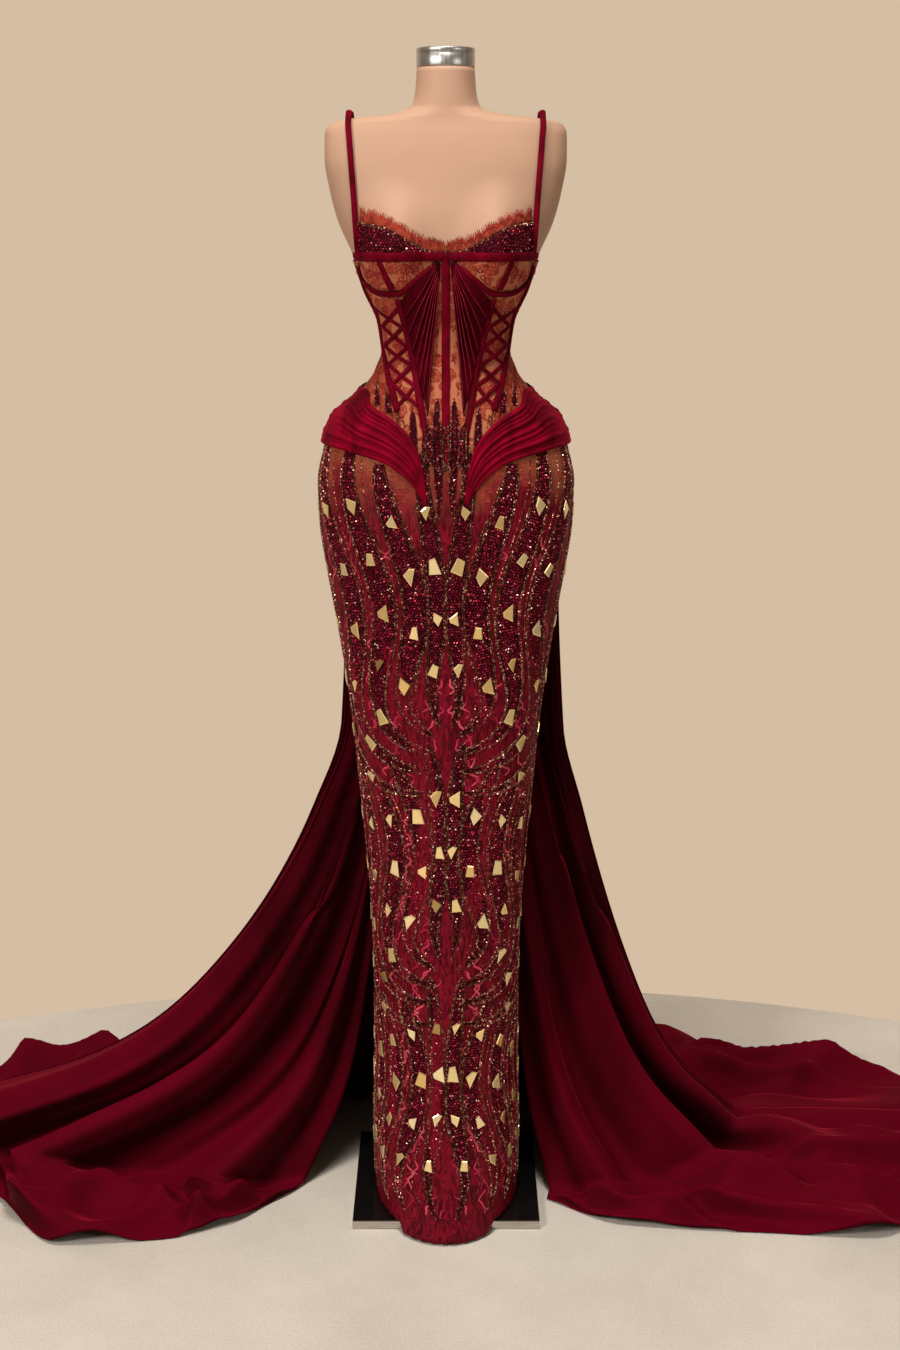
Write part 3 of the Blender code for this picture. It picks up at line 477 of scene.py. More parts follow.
def smooth_skin(name):
    mat, tree, shader = shader_of(name)
    at = coordinates(tree)
    soft = noise(tree, at, 7.0, 3.0)
    tree.links.new(ramp(tree, soft, [(0.35, (0.434, 0.256, 0.170)), (0.65, (0.466, 0.278, 0.186))]), shader.inputs["Base Color"])
    fine = noise(tree, at, 700.0, 3.0, 0.6)
    tree.links.new(math_node(tree, "MULTIPLY_ADD", soft, 0.10, 0.52), shader.inputs["Roughness"])
    bump(tree, shader, fine, 0.06, 0.0004)
    shader.inputs["Specular IOR Level"].default_value = 0.2
    return mat


def polished(name, rgb, rough, reflection_and_brush_streaks=(240.0, 240.0, 3.0)):
    mat, tree, shader = shader_of(name)
    lines = noise(tree, coordinates(tree, reflection_and_brush_streaks), 1.0, 4.0, 0.75)
    # the streaks darken the metal's colour in vertical bands: partly brushed grain, partly painted reflection
    tree.links.new(ramp(tree, lines, [(0.35, tuple(0.55 * c for c in rgb)), (0.65, rgb)]), shader.inputs["Base Color"])
    tree.links.new(math_node(tree, "MULTIPLY_ADD", lines, 0.24, rough), shader.inputs["Roughness"])
    shader.inputs["Metallic"].default_value = 1.0
    return mat


def plate_finish(name):
    """Gloss black on top, bare steel on the edges."""
    mat, tree, shader = shader_of(name)
    at = coordinates(tree)
    facing = tree.nodes.new("ShaderNodeSeparateXYZ")
    tree.links.new(tree.nodes.new("ShaderNodeNewGeometry").outputs["Normal"], facing.inputs[0])
    top = math_node(tree, "GREATER_THAN", math_node(tree, "ABSOLUTE", facing.outputs["Z"]), 0.8)
    lines = noise(tree, coordinates(tree, (30.0, 30.0, 1200.0)), 1.0, 3.0)
    steel = ramp(tree, lines, [(0.3, (0.42, 0.39, 0.36)), (0.7, (0.66, 0.62, 0.58))])
    tree.links.new(mixed(tree, top, steel, (0.006, 0.005, 0.005)), shader.inputs["Base Color"])
    tree.links.new(math_node(tree, "SUBTRACT", 1.0, top), shader.inputs["Metallic"])
    dust = noise(tree, at, 55.0, 5.0, 0.7)
    tree.links.new(math_node(tree, "MULTIPLY_ADD", dust, 0.14, 0.10), shader.inputs["Roughness"])
    return mat


def carpet(name):
    mat, tree, shader = shader_of(name)
    at = coordinates(tree)
    broad, fine = noise(tree, at, 2.6, 4.0, 0.6), noise(tree, at, 260.0, 3.0, 0.7)
    tone = math_node(tree, "MULTIPLY_ADD", fine, 0.35, math_node(tree, "MULTIPLY", broad, 0.65))
    tree.links.new(ramp(tree, tone, [(0.30, (0.54, 0.48, 0.41)), (0.70, (0.74, 0.68, 0.60))]), shader.inputs["Base Color"])
    shader.inputs["Roughness"].default_value = 0.95
    bump(tree, shader, fine, 0.5, 0.004)
    return mat


M = {
    "velvet": velvet("wine_velvet", (0.066, 0.0002, 0.004), (0.245, 0.0005, 0.016), 0.18, (1.0, 0.03, 0.10), (26.0, 26.0, 16.0)),
    # the fan's velvet is a darker copy of the wine velvet: painted shade of its pleats
    "fan": velvet("wine_velvet_fan_painted_shade", (0.024, 0.0001, 0.0015), (0.088, 0.0002, 0.007), 0.08, (1.0, 0.03, 0.10), (30.0, 30.0, 12.0)),
    # a lighter copy of the velvet for the cords on the fan's fold edges: painted highlight
    "ridge": velvet("wine_velvet_painted_fold_highlight", (0.19, 0.003, 0.013), (0.38, 0.017, 0.034), 0.10, (1.0, 0.10, 0.18), (90.0, 90.0, 40.0)),
    "band_velvet": velvet("wine_velvet_band", (0.060, 0.0002, 0.003), (0.160, 0.0004, 0.011), 0.13, (1.0, 0.03, 0.10), (40.0, 40.0, 22.0)),
    # lean=0.40 paints light on the train: faces turned up, and a little those turned to the front, get a lighter colour
    "train": velvet("train_velvet", (0.020, 0.0001, 0.0013), (0.104, 0.0003, 0.008), 0.34, (1.0, 0.03, 0.09), (5.0, 5.0, 2.2), lean=0.40),
    "net": net_lace("rust_net", (0.455, 0.158, 0.078), (0.290, 0.020, 0.012), share=0.47),
    "side_net": net_lace("rust_net_side", (0.370, 0.078, 0.034), (0.200, 0.015, 0.007), share=0.52),
    "edging": net_lace("rust_edging", (0.290, 0.044, 0.020), (0.165, 0.014, 0.007), 420.0, 90.0),
    "cord": by_piece("rust_cord", [(0.0, (0.140, 0.007, 0.005)), (0.5, (0.30, 0.020, 0.012)), (1.0, (0.48, 0.060, 0.035))], 0.6, spec=0.2),
    "coral": by_piece("coral_cord", [(0.0, (0.28, 0.006, 0.034)), (0.5, (0.46, 0.026, 0.066)), (1.0, (0.66, 0.080, 0.115))], 0.5, spec=0.12),
    "skirt": skirt_lace("crimson_lace"),
    "ground": beaded_ground("beaded_ground"),
    # the palest stop, on a few beads, is a painted glint
    "beads": by_piece("wine_beads", [(0.0, (0.055, 0.0002, 0.003)), (0.45, (0.165, 0.0008, 0.012)), (0.80, (0.34, 0.004, 0.030)), (0.94, (0.60, 0.050, 0.075)), (0.985, (0.92, 0.55, 0.46))], 0.30, metal=0.55, spec=0.25),
    # the palest stop, on a few beads, is a painted glint
    "copper": by_piece("copper_beads", [(0.0, (0.060, 0.009, 0.005)), (0.45, (0.170, 0.040, 0.022)), (0.82, (0.34, 0.115, 0.066)), (0.95, (0.85, 0.56, 0.40))], 0.28, metal=0.6, spec=0.3),
    "gold": by_piece("gold_tiles", [(0.0, (0.34, 0.19, 0.06)), (0.10, (0.86, 0.58, 0.22)), (0.5, (0.98, 0.73, 0.34)), (1.0, (1.0, 0.82, 0.46))], 0.13, metal=0.62, spec=0.6),
    "skin": smooth_skin("form_skin_satin"),
    "chrome": polished("cap_chrome", (0.62, 0.60, 0.57), 0.26),
    "plate": plate_finish("plate_gloss"),
    "floor": carpet("pale_floor"),
}


# ----------------------------------------------------------------------------------------------------------- meshes
def put(name, verts, faces, mat, nodes=(), smooth=True):
    mesh = bpy.data.meshes.new(name)
    mesh.from_pydata(np.asarray(verts, float).tolist(), [], faces if isinstance(faces, list) else faces.tolist())
    mesh.materials.append(M[mat])
    mesh.polygons.foreach_set("use_smooth", np.full(len(mesh.polygons), smooth))
    obj = bpy.data.objects.new(name, mesh)
    bpy.context.scene.collection.objects.link(obj)
    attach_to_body(obj, "root")
    if nodes:
        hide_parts(*nodes)
    return obj


def grid_faces(rows, cols, around=False):
    i, j = np.meshgrid(np.arange(rows - 1), np.arange(cols if around else cols - 1), indexing="ij")
    k = (j + 1) % cols
    return np.stack([i * cols + j, i * cols + k, (i + 1) * cols + k, (i + 1) * cols + j], -1).reshape(-1, 4)


def cloth(name, grid, wall, mat, nodes=()):
    """The loft through a grid of points, rows by columns, with a wall on its outer side."""
    rows, cols = grid.shape[:2]
    obj = put(name, grid.reshape(-1, 3), grid_faces(rows, cols), mat, nodes)
    shell = obj.modifiers.new("wall", "SOLIDIFY")
    shell.thickness, shell.offset = wall, 1.0
    shell.use_even_offset, shell.use_quality_normals = False, True
    return obj


def cut(obj, grid, held):
    """Prints a sheet: its flat size is the length of its rows and columns, laid out, and its area that of its faces."""
    across = np.linalg.norm(np.diff(grid, axis=1), axis=2).sum(axis=1).max()
    down = np.linalg.norm(np.diff(grid, axis=0), axis=2).sum(axis=0).max()
    a, b, c, d = grid[:-1, :-1], grid[:-1, 1:], grid[1:, 1:], grid[1:, :-1]
    area = (np.linalg.norm(np.cross(b - a, c - a), axis=2).sum() + np.linalg.norm(np.cross(c - a, d - a), axis=2).sum()) / 2
    flat = (max(0.0101, float(across)), max(0.0101, float(down)))
    area = float(np.clip(area, 0.301 * flat[0] * flat[1], flat[0] * flat[1]))
    print(f"sheet {obj.name}: {flat[0]:.3f} x {flat[1]:.3f} m, {area:.4f} m2, {held}")


def levels(low, high, step):
    return np.linspace(low, high, max(2, int(round((high - low) / step)) + 1))


def evenly(line, count):
    run = np.concatenate([[0], np.cumsum(np.linalg.norm(np.diff(line, axis=0), axis=1))])
    want = np.linspace(0, run[-1], count + 1)
    return np.stack([np.interp(want, run, line[:, i]) for i in range(line.shape[1])], axis=1)


def resampled(line, step):
    length = np.linalg.norm(np.diff(line, axis=0), axis=1).sum()
    return evenly(line, max(1, int(round(length / step))))


class Pile:
    """Many small closed solids gathered into one mesh."""

    def __init__(self):
        self.verts, self.faces, self.count = [], [], 0

    def extend(self, verts, faces):
        self.verts.append(np.asarray(verts, float))
        self.faces.append(np.asarray(faces) + self.count)
        self.count += len(verts)

    def beads(self, points, normals, wide, high):
        """Faceted beads: four-sided points on a flat foot, each turned its own way."""
        if not len(points):
            return
        n = normals / np.linalg.norm(normals, axis=1, keepdims=True)
        turn = RNG.uniform(0, math.pi / 2, len(points))
        ref = np.where(np.abs(n[:, 2:3]) < 0.9, np.array([[0.0, 0.0, 1.0]]), np.array([[1.0, 0.0, 0.0]]))
        u = np.cross(ref, n)
        u /= np.linalg.norm(u, axis=1, keepdims=True)
        v = np.cross(n, u)
        size = (wide / 2 * RNG.uniform(0.85, 1.12, len(points)))[:, None]
        corners = []
        for k in range(4):
            a = (turn + k * math.pi / 2)[:, None]
            corners.append(points + (u * np.cos(a) + v * np.sin(a)) * size)
        lean = (u * RNG.normal(0, 0.12, (len(points), 1)) + v * RNG.normal(0, 0.12, (len(points), 1))) * wide
        corners.append(points + n * high * size / (wide / 2) + lean)
        verts = np.stack(corners, axis=1).reshape(-1, 3)
        base = (np.arange(len(points)) * 5)[:, None]
        tri = np.array([[0, 1, 4], [1, 2, 4], [2, 3, 4], [3, 0, 4], [0, 3, 2], [0, 2, 1]])
        self.extend(verts, (base[:, :, None] + tri[None]).reshape(-1, 3))

    def cord(self, line, normals, wide, high):
        """A three-sided cord along a line, tapered to its ends."""
        along = np.gradient(line, axis=0)
        along /= np.linalg.norm(along, axis=1, keepdims=True) + 1e-12
        side = np.cross(along, normals)
        side /= np.linalg.norm(side, axis=1, keepdims=True) + 1e-12
        t = np.linspace(0, 1, len(line))
        thin = (0.35 + 0.65 * np.sin(math.pi * np.clip(t, 0.04, 0.96)) ** 0.5)[:, None]
        ring = np.stack([line - side * wide / 2 * thin, line + side * wide / 2 * thin, line + normals * high * thin], axis=1)
        m = len(line)
        faces = []
        for i in range(m - 1):
            a, b = i * 3, (i + 1) * 3
            for p, q in ((0, 1), (1, 2), (2, 0)):
                faces += [(a + p, b + q, a + q), (a + p, b + p, b + q)]
        faces += [(0, 1, 2), ((m - 1) * 3, (m - 1) * 3 + 2, (m - 1) * 3 + 1)]
        self.extend(ring.reshape(-1, 3), np.array(faces))

    def done(self, name, mat, slot, smooth=False):
        verts, faces = np.concatenate(self.verts), np.concatenate(self.faces)
        obj = put(name, verts, faces, mat, smooth=smooth)
        print(f"pile {name}: {len(faces)} triangles")
        return obj


def lathe(name, profile, segments, mat, nodes):
    """A turned body from radius, z rows, closed at both ends."""
    turn = np.linspace(0, 2 * math.pi, segments, endpoint=False)
    rows = [np.column_stack([r * np.cos(turn), r * np.sin(turn), np.full(segments, z)]) for r, z in profile]
    faces = grid_faces(len(rows), segments, True).tolist()
    faces.append(list(range(segments))[::-1])
    faces.append(list(range((len(rows) - 1) * segments, len(rows) * segments)))
    obj = put(name, np.concatenate(rows), faces, mat, nodes)
    flat = [len(p.vertices) == 4 for p in obj.data.polygons]
    obj.data.polygons.foreach_set("use_smooth", flat)
    return obj


# ----------------------------------------------------------------------------------------------------- the dress form
def torso():
    count = 120
    heights = np.concatenate([levels(FORM_BOTTOM, 1.23, 0.02)[:-1], levels(1.23, 1.62, 0.006)[:-1], levels(1.62, 1.640, 0.003)[:-1], levels(1.640, 1.676, 0.0009)[:-1], levels(1.676, NECK_CUT, 0.006)])
    theta = np.linspace(0, 2 * math.pi, count, endpoint=False)
    t, z = np.broadcast_arrays(theta[None, :], heights[:, None])
    points = surface(t, z, -0.0008)
    faces = grid_faces(len(heights), count, True).tolist()
    faces.append(list(range(count))[::-1])
    faces.append(list(range((len(heights) - 1) * count, len(heights) * count)))
    obj = put("torso_shell", points.reshape(-1, 3), faces, "skin", ["form_torso"])
    obj.data.polygons.foreach_set("use_smooth", [len(p.vertices) == 4 for p in obj.data.polygons])


def fittings():
    low = NECK_CUT + GAP
    profile = [(0.0395, low), (0.0408, low + 0.0008), (0.0410, low + 0.0016), (0.0410, low + 0.0165), (0.0402, low + 0.0172), (0.0402, low + 0.0180),
               (0.0410, low + 0.0187), (0.0410, HEIGHT - 0.0016), (0.0404, HEIGHT - 0.0005), (0.0392, HEIGHT)]
    lathe("cap_turned", profile, 96, "chrome", ["neck_cap"])
    lathe("pole_tube", [(0.0125, PLATE_THICK + GAP), (0.0125, FORM_BOTTOM - GAP)], 48, "chrome", ["pole"])
    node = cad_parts["base_plate"]
    for slot in node.material_slots:
        slot.material = M["plate"]


torso()
fittings()


# ---------------------------------------------------------------------------------------------------------- bodice
def princess(z):
    return angle_of(read(PRINCESS, 1, np.minimum(z, 1.416)), np.minimum(z, 1.416))


def side_bone(z):
    return angle_of(read(SIDE_BONE, 1, z), z)


def wire_top(angle):
    x = figure(angle, np.full(np.shape(angle), 1.43))[..., 0]
    return read(UNDERWIRE, 1, np.clip(x, 0.017, 0.121)) - 0.0010


def side_top(angle):
    return 1.458 + 0.004 * np.clip((angle - 1.05) / (math.pi / 2 - 1.05), 0, 1)


def back_top(angle):
    return 1.462 - 0.012 * np.sin(np.clip((angle - math.pi / 2) / (math.pi / 2), 0, 1) * math.pi / 2)


SEAM = 0.0005 / 0.09
PANELS = {  # inner seam, outer seam, upper edge, columns
    "lace_front": (lambda z: 0 * z + SEAM, lambda z: princess(z) - SEAM, wire_top, 14),
    "lace_side_front": (lambda z: princess(z) + SEAM, lambda z: side_bone(z) - SEAM, wire_top, 12),
    "lace_side": (lambda z: side_bone(z) + SEAM, lambda z: 0 * z + math.pi / 2 - SEAM, side_top, 16),
    "lace_back": (lambda z: 0 * z + math.pi / 2 + SEAM, lambda z: 0 * z + math.pi - 0.003, back_top, 26),
}


def mirrored(grid, side):
    """The same grid on the other side, its columns still running towards +X."""
    return grid if side > 0 else (grid * np.array([-1, 1, 1]))[:, ::-1]


SIDES = ((-1, "left"), (1, "right"))
low = SEAM_Z + GAP
for kind, (inner, outer, top, columns) in PANELS.items():
    share = np.linspace(0, 1, columns + 1)
    heights = levels(low, 1.382, 0.005)
    t_low = inner(heights)[:, None] * (1 - share) + outer(heights)[:, None] * share
    z_low = np.broadcast_to(heights[:, None], t_low.shape)
    crown = top(t_low[-1])
    up = np.linspace(0, 1, 17)[1:]
    z_up = 1.382 + (crown - 1.382)[None, :] * up[:, None]
    t_up = inner(z_up) * (1 - share) + outer(z_up) * share
    grid = surface(np.vstack([t_low, t_up]), np.vstack([z_low, z_up]), BASE_OFF)
    for side, label in SIDES:
        name = f"{kind}_{label}"
        g = mirrored(grid, side)
        obj = cloth(name.replace("lace_", "net_panel_"), g, LACE_WALL, "side_net" if kind in ("lace_side", "lace_back") else "net", [name])
        cut(obj, g, "stretched")


def edging_top(x):
    """The scalloped top of the lace edging: rounded leaves of uneven width and height."""
    rise = read(EDGING, 1, x) - read(NECKLINE, 1, x)
    lobes = np.abs(np.sin(x / 0.0135 * math.pi + 0.7 * np.sin(x * 150))) ** 0.55
    small = np.abs(np.sin(x / 0.0034 * math.pi)) ** 0.6
    return read(NECKLINE, 1, x) + rise * (0.30 + 0.46 * lobes + 0.10 * small + 0.09 * np.sin(x * 95 + 1))


def strip_between(x, low_z, high_z, rows, off):
    share = np.linspace(0, 1, rows + 1)
    z = low_z[None, :] + (high_z - low_z)[None, :] * share[:, None]
    xs = np.broadcast_to(x, z.shape)
    return surface(angle_of(xs, z), z, off)


for side, label in SIDES:
    x = np.linspace(0.0190, 0.1190, 34)
    g = mirrored(strip_between(x, read(UNDERWIRE, 1, x) + 0.0010, np.full(len(x), BUST_LINE - GAP), 12, BASE_OFF), side)
    cut(cloth(f"net_cup_lower_{label}", g, LACE_WALL, "net", [f"cup_lower_{label}"]), g, "stretched")
    x = np.linspace(0.0006, 0.1240, 42)
    g = mirrored(strip_between(x, np.full(len(x), BUST_LINE + GAP), read(NECKLINE, 1, x), 12, BASE_OFF), side)
    cut(cloth(f"beaded_cup_upper_{label}", g, 0.0016, "ground", [f"cup_upper_{label}"]), g, "stretched")
    # the scalloped strip that the lashes grow from
    x = np.linspace(0.0006, 0.1185, 150)
    g = mirrored(strip_between(x, read(NECKLINE, 1, x) - 0.0012, edging_top(x), 4, BASE_OFF + 0.0006), side)
    cut(cloth(f"lash_lace_{label}", g, 0.0006, "edging", [f"lace_edging_{label}"]), g, "stretched")


def band(name, theta, z, width, off, wall, node, crown=0.0011, ends=0.0):
    """A stitched-down velvet band: a strip along a line with a soft round back."""
    line = surface(theta, z, off)
    normal = normal_of(np.asarray(theta, float), np.asarray(z, float))
    along = np.gradient(line, axis=0)
    along /= np.linalg.norm(along, axis=1, keepdims=True)
    side = np.cross(along, normal)
    side /= np.linalg.norm(side, axis=1, keepdims=True)
    u = np.linspace(-0.5, 0.5, 9)
    round_ = (1 - (2 * u) ** 2) * crown - np.abs(2 * u) ** 8 * 0.0005
    grid = line[:, None, :] + side[:, None, :] * (u * width)[None, :, None] + normal[:, None, :] * round_[None, :, None]
    obj = cloth(name, grid, wall * 0.62, "band_velvet", [node])
    return obj, grid


for side, label in SIDES:
    z = levels(1.200, 1.412, 0.005)
    band(f"velvet_princess_{label}", side * angle_of(read(PRINCESS, 1, z), z), z, BAND_WIDTH, BAND_OFF, BAND_WALL, f"princess_band_{label}")
    z = levels(1.2540, 1.4545, 0.005)
    band(f"velvet_side_{label}", side * angle_of(read(SIDE_BONE, 1, z), z), z, BAND_WIDTH, BAND_OFF, BAND_WALL, f"side_band_{label}")
    x = np.linspace(0.0035, 0.1250, 40)
    obj, g = band(f"velvet_top_{label}", side * angle_of(x, np.full(40, BUST_LINE)), np.full(40, BUST_LINE), TOP_BAND_WIDTH, BAND_OFF + 0.0008, BAND_WALL, f"top_band_{label}")
    cut(obj, g, "stretched")
    z = levels(CUP_STRIP[1][0], CUP_STRIP[0][0], 0.003)
    band(f"velvet_cup_{label}", side * angle_of(read(CUP_STRIP, 1, z), z), z, BAND_WIDTH * 1.15, BAND_OFF, BAND_WALL, f"cup_strip_{label}")
    x = np.linspace(0.0215, 0.1140, 40)
    wire = read(UNDERWIRE, 1, x) - 0.0015
    band(f"velvet_wire_{label}", side * angle_of(x, wire), wire, 0.0068, BAND_OFF + 0.0004, BAND_WALL, f"underwire_{label}", 0.0014)
z = levels(1.200, 1.4725, 0.005)
band("velvet_busk", np.zeros(len(z)), z, BUSK_WIDTH, BAND_OFF, BAND_WALL, "busk", 0.0012)


def knife(phase):
    """A knife pleat's profile: a slow rise to the fold and a quick drop behind it."""
    return np.where(phase < 0.86, (phase / 0.86) ** 0.9, (1 - phase) / 0.14)


def fan_fold(share, t):
    top_x, top_z, end_x, end_z, bow = (read(FAN, i, share)[:, None] for i in range(1, 6))
    top_x, top_z = 0.0066 + (top_x - 0.0080) * 0.55, top_z + 0.0150
    end_x = end_x + 0.0012
    x = top_x + (end_x - top_x) * t
    return x, top_z + (end_z - top_z) * t + bow * 4 * t * (1 - t)


FAN_SHARES = [0.0, 0.165, 0.31, 0.46, 0.585, 0.73, 0.855, 1.0]  # where its pleats begin, none alike
for side, label in SIDES:
    t = np.linspace(0, 1, 72)[None, :]
    share = np.concatenate([np.linspace(a, b, 12, endpoint=False) for a, b in zip(FAN_SHARES, FAN_SHARES[1:])] + [[1.0]])
    phase = np.concatenate([np.tile(np.linspace(0, 1, 12, endpoint=False), len(FAN_SHARES) - 1), [1.0]])
    x, z = fan_fold(share, t)
    gap = np.hypot(x[0] - x[-1], z[0] - z[-1]) / (len(FAN_SHARES) - 1)
    high = np.minimum(0.0046, 0.55 * gap)[None, :] * (0.82 + 0.18 * np.sin(share * 21))[:, None]
    roll = 0.0010 * np.sin(math.pi * t) + 0.0007 * np.sin(7 * t + 9 * share[:, None])
    tucked = 0.0024 * (1 - t) ** 10
    g = surface(angle_of(x, z), z, BAND_OFF + 0.0012 - tucked + knife(phase)[:, None] * high + roll)
    g = (g * np.array([-1, 1, 1]))[:, ::-1] if side < 0 else g
    cut(cloth(f"velvet_fan_{label}", g, 0.0009, "fan", [f"pleat_fan_{label}"]), g, "gathered")
    # cords of a lighter copy of the velvet along the edges of its folds: painted highlight
    ridges = Pile()
    for a, b in zip(FAN_SHARES, FAN_SHARES[1:]):
        edge = np.array([a + (b - a) * 0.86])
        line_t = np.linspace(0.10, 0.97, 46)[None, :]
        x, z = fan_fold(edge, line_t)
        gap_t = np.interp(line_t[0], t[0], gap)
        lift = BAND_OFF + 0.0012 + 0.0009 + np.minimum(0.0046, 0.55 * gap_t) * (0.82 + 0.18 * math.sin(float(edge[0]) * 21)) * 0.97 + 0.0010 * np.sin(math.pi * line_t[0]) + 0.0007 * np.sin(7 * line_t[0] + 9 * float(edge[0]))
        th = side * angle_of(x[0], z[0])
        ridges.cord(surface(th, z[0], lift), normal_of(th, z[0]), 0.0011, 0.0006)
    ridges.done(f"fan_painted_fold_highlights_{label}", "ridge", "velvet", smooth=True)


def drape_base(theta, z):
    """Close to the lace at the upper edge, out over the train's seam behind and below."""
    share = np.clip((np.abs(theta) - math.radians(72)) / math.radians(34), 0, 1)
    down = np.clip((1.262 - z) / 0.030, 0, 1)
    return DRAPE_OFF + (DRAPE_OFF_BACK - DRAPE_OFF) * share * share * (3 - 2 * share) * down * down * (3 - 2 * down)


def drape_grid(table, t, pleats, per):
    """Soft gathers that fan out from the front: each fold its own width, depth and length."""
    share = np.linspace(0, 1, pleats * per + 1)[:, None]
    first, last = (read(table, 1, t), read(table, 2, t)), (read(table, 3, t), read(table, 4, t))
    sway = (0.016 * np.sin(2 * math.pi * (1.3 * share + 0.5 * t)) + 0.008 * np.sin(2 * math.pi * (2.9 * share - 1.1 * t))) * 4 * share * (1 - share)
    at = share + sway
    theta = np.radians(first[0] + (last[0] - first[0]) * at)
    z = first[1] + (last[1] - first[1]) * at
    spread = np.linalg.norm(np.stack([(last[0] - first[0]) * 0.0022, last[1] - first[1]]), axis=0)
    coarse, fine = (share * pleats) % 1.0, (share * pleats * 2 + 0.35) % 1.0
    which = np.floor(share * pleats)
    deep = 0.55 + 0.45 * np.sin(which * 2.4 + 1.0)
    fade = 0.45 + 0.55 * np.clip(t * 2.2 + 0.25 * np.sin(which * 1.9), 0, 1)
    soft = np.where(coarse < 0.72, np.sin(coarse / 0.72 * math.pi / 2) ** 1.3, np.cos((coarse - 0.72) / 0.28 * math.pi / 2) ** 1.2)
    fold = soft * deep * fade + 0.34 * np.sin(math.pi * fine) * np.clip(1.15 - fade, 0, 1)
    wrinkle = 0.16 * np.sin(2 * math.pi * (2.2 * t + 3.7 * share)) * (1 - np.clip(t * 2, 0, 1))
    edge = np.minimum(1.0, 14 * share * (1 - share) + 0.25)
    high = np.minimum(0.0044, spread / pleats * 0.72)
    calm = 0.42 + 0.58 * np.clip(t * 2.6, 0, 1)
    return surface(theta, z, drape_base(theta, z) + (fold + wrinkle) * edge * high * calm)


for side, label in SIDES:
    for part, table, first, count in (("front", DRAPE_FRONT, 0.004, 80), ("back", DRAPE_BACK, 0.0025, 56)):
        t = np.linspace(first, 1, count)[None, :]
        g = drape_grid(table, t, 11, 9)
        if side < 0:
            g = g * np.array([-1, 1, 1])
        if (part == "front") != (side > 0):
            g = g[:, ::-1]
        name = f"hip_drape_{part}_{label}"
        cut(cloth(f"velvet_{part}_drape_{label}", g, 0.0011, "velvet", [name]), g, "gathered")

# Ribbon lacing: two zigzags a side, softened where they turn.
LACING_LOW, LACING_HIGH, LACING_TURNS = 1.262, 1.398, 5
for side, label in SIDES:
    for layer, phase, off in (("under", 0, BAND_OFF), ("over", 1, OVER_OFF - 0.0006)):
        knots = []
        for k in range(LACING_TURNS + 1):
            zk = LACING_LOW + (LACING_HIGH - LACING_LOW) * k / LACING_TURNS
            near, far = float(read(PRINCESS, 1, zk)) + 0.0035, float(read(SIDE_BONE, 1, zk)) - 0.0035
            knots.append((near if (k + phase) % 2 else far, zk))
        pts = []
        for (x0, z0), (x1, z1) in zip(knots, knots[1:]):
            for share in np.linspace(0, 1, 12, endpoint=False):
                pts.append((x0 + (x1 - x0) * share, z0 + (z1 - z0) * share - 0.0012 * math.sin(math.pi * share)))
        pts = np.array(pts + [knots[-1]])
        band(f"velvet_lacing_{layer}_{label}", side * angle_of(pts[:, 0], pts[:, 1]), pts[:, 1], RIBBON_WIDTH * 0.85, off, RIBBON_WALL, f"lacing_{layer}_{label}", 0.0005)


def strap(side, label):
    """A narrow padded strap from the cup's corner over the shoulder to the back's edge."""
    points = []
    for z in (1.4740, 1.4960, 1.5190, 1.545, 1.575, 1.605, 1.630, 1.645):
        x = 0.1240 + 0.0105 * (z - 1.519) / (1.645 - 1.519)
        points.append(surface(angle_of(np.float64(x), np.float64(z)), z, 0.0036))
    points.append(np.array([0.1355, -0.014, 1.6640]))
    points.append(np.array([0.1350, 0.022, 1.6640]))
    for z in (1.645, 1.620, 1.590, 1.555, 1.520, 1.490, 1.4545):
        x = 0.1330 - 0.0330 * (1.645 - z) / (1.645 - 1.4545)
        points.append(surface(math.pi - angle_of(np.float64(x), np.float64(z)), z, 0.0040))
    line = np.array(points)
    run = np.concatenate([[0], np.cumsum(np.linalg.norm(np.diff(line, axis=0), axis=1))])
    want = np.linspace(0, run[-1], 110)
    line = np.stack([curve(run, line[:, i], want) for i in range(3)], axis=1)
    line[:, 0] *= side
    along = np.gradient(line, axis=0)
    along /= np.linalg.norm(along, axis=1, keepdims=True)
    across = np.array([1.0, 0.0, 0.0])[None, :] - along * along[:, :1]
    across /= np.linalg.norm(across, axis=1, keepdims=True)
    up = np.cross(across, along)
    up *= np.sign(np.einsum("ij,ij->i", up, line - np.array([0, 0.004, 1.55])))[:, None]
    turn = np.linspace(0, 2 * math.pi, 14, endpoint=False)
    ring = across[:, None, :] * (np.cos(turn) * 0.0042)[None, :, None] + up[:, None, :] * (np.sin(turn) * 0.0021 + 0.0008)[None, :, None]
    rows = line[:, None, :] + ring
    faces = grid_faces(len(rows), 14, True).tolist()
    faces.append(list(range(14)))
    faces.append(list(range((len(rows) - 1) * 14, len(rows) * 14))[::-1])
    put(f"velvet_strap_{label}", rows.reshape(-1, 3), faces, "band_velvet", [f"strap_{label}"])


for side, label in SIDES:
    strap(side, label)


# ---------------------------------------------------------------------------------------------------------- skirt
def hem_height(y):
    share = np.clip((-y - 0.1570) / 0.006, 0, 1)
    return (PLATE_THICK + 0.002) * (1 - share) + 0.003 * share


